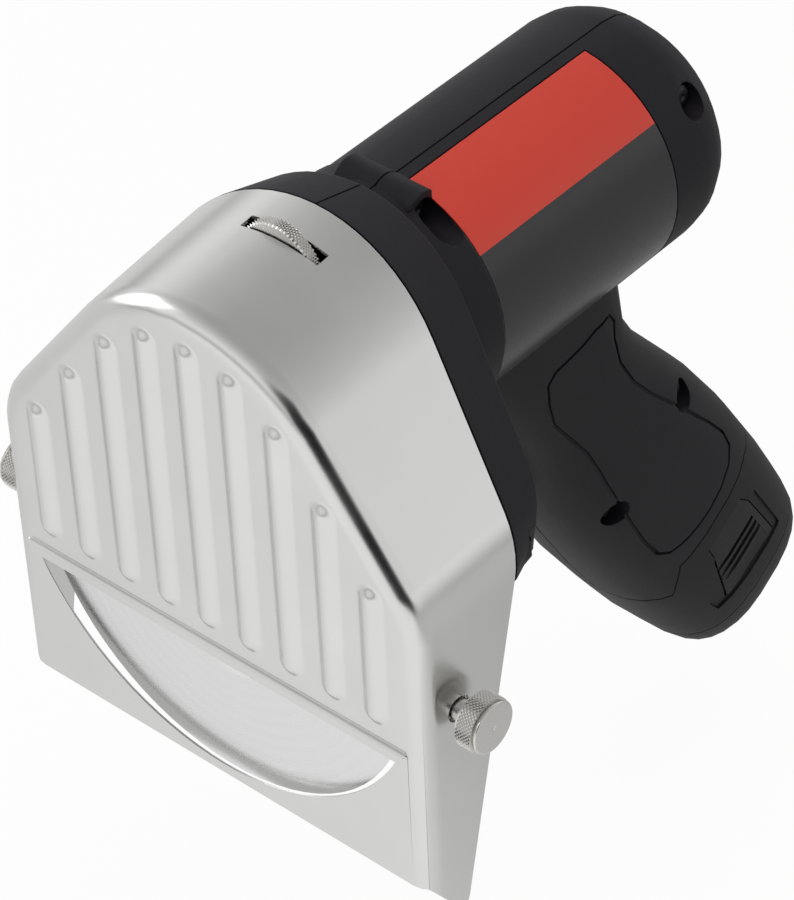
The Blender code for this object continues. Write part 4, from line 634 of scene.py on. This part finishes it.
rounded_copy("circular_blade", BLADE_STEEL, 0.0, angle=25.0)
for node in ("blade_washer", "blade_screw", "thumb_stud_left", "thumb_stud_right"):
    rounded_copy(node, TURNED_STEEL, EDGE_BREAK)
for count in range(1, 5):
    rounded_copy("case_screw_" + str(count), SCREW_STEEL_PAINTED_SHADE, EDGE_BREAK)
rounded_copy("label_sheet", LABEL_FILM, 0.0)
rounded_copy("guard_bracket", STEEL_SHEET, 0.15 * MM)

# %% [markdown]
# ## The studio floor
# The photograph was taken on white with large soft lamps. The floor looks white to the
# camera but keeps a share of its own shading, so that the tool's shadow stays. A mirror
# on the tool sees a tone instead, lighter toward the front right and darker behind,
# which gives the polished plate its bands. The floor lies low enough for the battery
# pack to slide all the way out above it, and far from the tool it is plain white.

# %% Floor
FLOOR_Z = -162.0 * MM
FLOOR_TOOTH = 4 * MM
WHITE = linear("#FFFFFF")
FRONT_RIGHT = (0.73, -0.69, 0.0)
REAR_RIGHT = (1.0, 1.0, 0.0)


def floor_finish():
    material, tree, shader, place = start_finish("white_studio_floor", "#E9E9EA", 0.0)
    tooth = add(tree, "ShaderNodeTexNoise", Vector=place, Scale=1 / FLOOR_TOOTH, Detail=2.0)
    rough = add(tree, "ShaderNodeMapRange", i0=tooth.outputs["Fac"], i1=0.25, i2=0.75,
                i3=0.75, i4=0.85)
    tree.links.new(rough.outputs[0], shader.inputs["Roughness"])
    ray = add(tree, "ShaderNodeLightPath")
    # What the camera sees: nearly all glow, and nothing else from 1.6 m on.
    away = add(tree, "ShaderNodeVectorMath", {"operation": "LENGTH"}, i0=place)
    clean = add(tree, "ShaderNodeMapRange", i0=away.outputs["Value"], i1=0.4, i2=1.6,
                i3=0.95, i4=1.0)
    share = add(tree, "ShaderNodeMath", {"operation": "MULTIPLY"},
                i0=ray.outputs["Is Camera Ray"], i1=clean.outputs[0])
    glow = add(tree, "ShaderNodeEmission", Color=WHITE, Strength=1.0)
    shown = add(tree, "ShaderNodeMixShader", i0=share.outputs[0], i1=shader.outputs[0],
                i2=glow.outputs[0])
    # What the steel mirrors: a tone that grows to the front right and fades behind.
    side = add(tree, "ShaderNodeVectorMath", {"operation": "DOT_PRODUCT"},
               i0=place, i1=FRONT_RIGHT)
    tone = add(tree, "ShaderNodeMapRange", i0=side.outputs["Value"], i1=-0.16, i2=0.16,
               i3=0.78, i4=1.06)
    rear = add(tree, "ShaderNodeVectorMath", {"operation": "DOT_PRODUCT"},
               i0=place, i1=REAR_RIGHT)
    fade = add(tree, "ShaderNodeMapRange", i0=rear.outputs["Value"], i1=0.0, i2=0.3,
               i3=1.0, i4=0.6)
    power = add(tree, "ShaderNodeMath", {"operation": "MULTIPLY"},
                i0=tone.outputs[0], i1=fade.outputs[0])
    mirror = add(tree, "ShaderNodeEmission", Color=WHITE, Strength=power.outputs[0])
    both = add(tree, "ShaderNodeMixShader", i0=ray.outputs["Is Glossy Ray"],
               i1=shown.outputs[0], i2=mirror.outputs[0])
    tree.links.new(both.outputs[0], tree.nodes["Material Output"].inputs["Surface"])
    return material


bpy.ops.mesh.primitive_plane_add(size=6.0, location=(0, 0, FLOOR_Z))
floor = bpy.context.object
floor.name = "studio_floor"
floor.data.materials.append(floor_finish())

# %% [markdown]
# ## The room
# The world is white to the camera, while the steel sees a grey room with a bright band
# above the horizon and a dark patch, as of a black card in a studio, which draws the
# dark line along the guard's bend. It lights matt surfaces only weakly.

# %% World
ROOM_TONES = ((0.46, "#9A9A9C"), (0.63, "#FAFAFA"), (0.84, "#C6C6C6"), (0.95, "#AEAEAE"))
CARD_TOWARD = (0.60, -0.76, 0.24)
CARD_EDGE = (0.87, 0.93)
ROOM_LIGHT, MIRROR_LIGHT = 0.35, 0.75

world = bpy.data.worlds.new("studio_room")
bpy.context.scene.world = world
world.use_nodes = True
room = world.node_tree
room.nodes.clear()
direction = room.nodes.new("ShaderNodeTexCoord").outputs["Generated"]
height = add(room, "ShaderNodeSeparateXYZ", Vector=direction).outputs["Z"]
level = add(room, "ShaderNodeMapRange", i0=height, i1=-1.0, i2=1.0, i3=0.0, i4=1.0)
ramp = add(room, "ShaderNodeValToRGB", i0=level.outputs[0])
stops = ramp.color_ramp.elements
for stop, (position, colour) in zip(stops, ROOM_TONES):
    stop.position = position
    stop.color = linear(colour)
for position, colour in ROOM_TONES[2:]:
    stops.new(position).color = linear(colour)
toward = add(room, "ShaderNodeVectorMath", {"operation": "DOT_PRODUCT"},
             i0=direction, i1=CARD_TOWARD)
card = add(room, "ShaderNodeMapRange", i0=toward.outputs["Value"], i1=CARD_EDGE[0],
           i2=CARD_EDGE[1], i3=0.0, i4=1.0)
tones = add(room, "ShaderNodeMix", {"data_type": "RGBA"}, i0=card.outputs[0],
            i6=ramp.outputs["Color"], i7=linear("#1E1E20"))
ray = add(room, "ShaderNodeLightPath")
power = add(room, "ShaderNodeMath", {"operation": "MULTIPLY_ADD"},
            i0=ray.outputs["Is Glossy Ray"], i1=MIRROR_LIGHT, i2=ROOM_LIGHT)
lit = add(room, "ShaderNodeBackground", Color=tones.outputs[2], Strength=power.outputs[0])
seen = add(room, "ShaderNodeBackground", Color=WHITE, Strength=1.0)
joined = add(room, "ShaderNodeMixShader", i0=ray.outputs["Is Camera Ray"],
             i1=lit.outputs[0], i2=seen.outputs[0])
add(room, "ShaderNodeOutputWorld", Surface=joined.outputs[0])
print("room tones:", len(stops))

# %% [markdown]
# ## Lamps
# A large lamp over the tool, a softer one from the front right and a weak one from the
# left copy the photograph: bright crown, light plate, slightly darker left flank. The
# first two are hidden from mirrors, because the steel already sees the room's tones.

# %% Lamps
AIM = Vector((0, 0.06, 0))

for name, place, size, watts, mirrored in (
        ("overhead_softbox", (0.1, 0.1, 1.5), 1.2, 18.0, False),
        ("front_softbox", (0.7, -1.2, 0.6), 0.9, 7.0, False),
        ("left_softbox", (-1.3, -0.4, 0.5), 0.8, 3.0, True)):
    light = bpy.data.lights.new(name, "AREA")
    light.size = size
    light.energy = watts
    lamp = bpy.data.objects.new(name, light)
    bpy.context.scene.collection.objects.link(lamp)
    lamp.location = place
    lamp.rotation_euler = (AIM - Vector(place)).to_track_quat("-Z", "Y").to_euler()
    lamp.visible_glossy = mirrored
bpy.context.scene.view_settings.view_transform = "Standard"
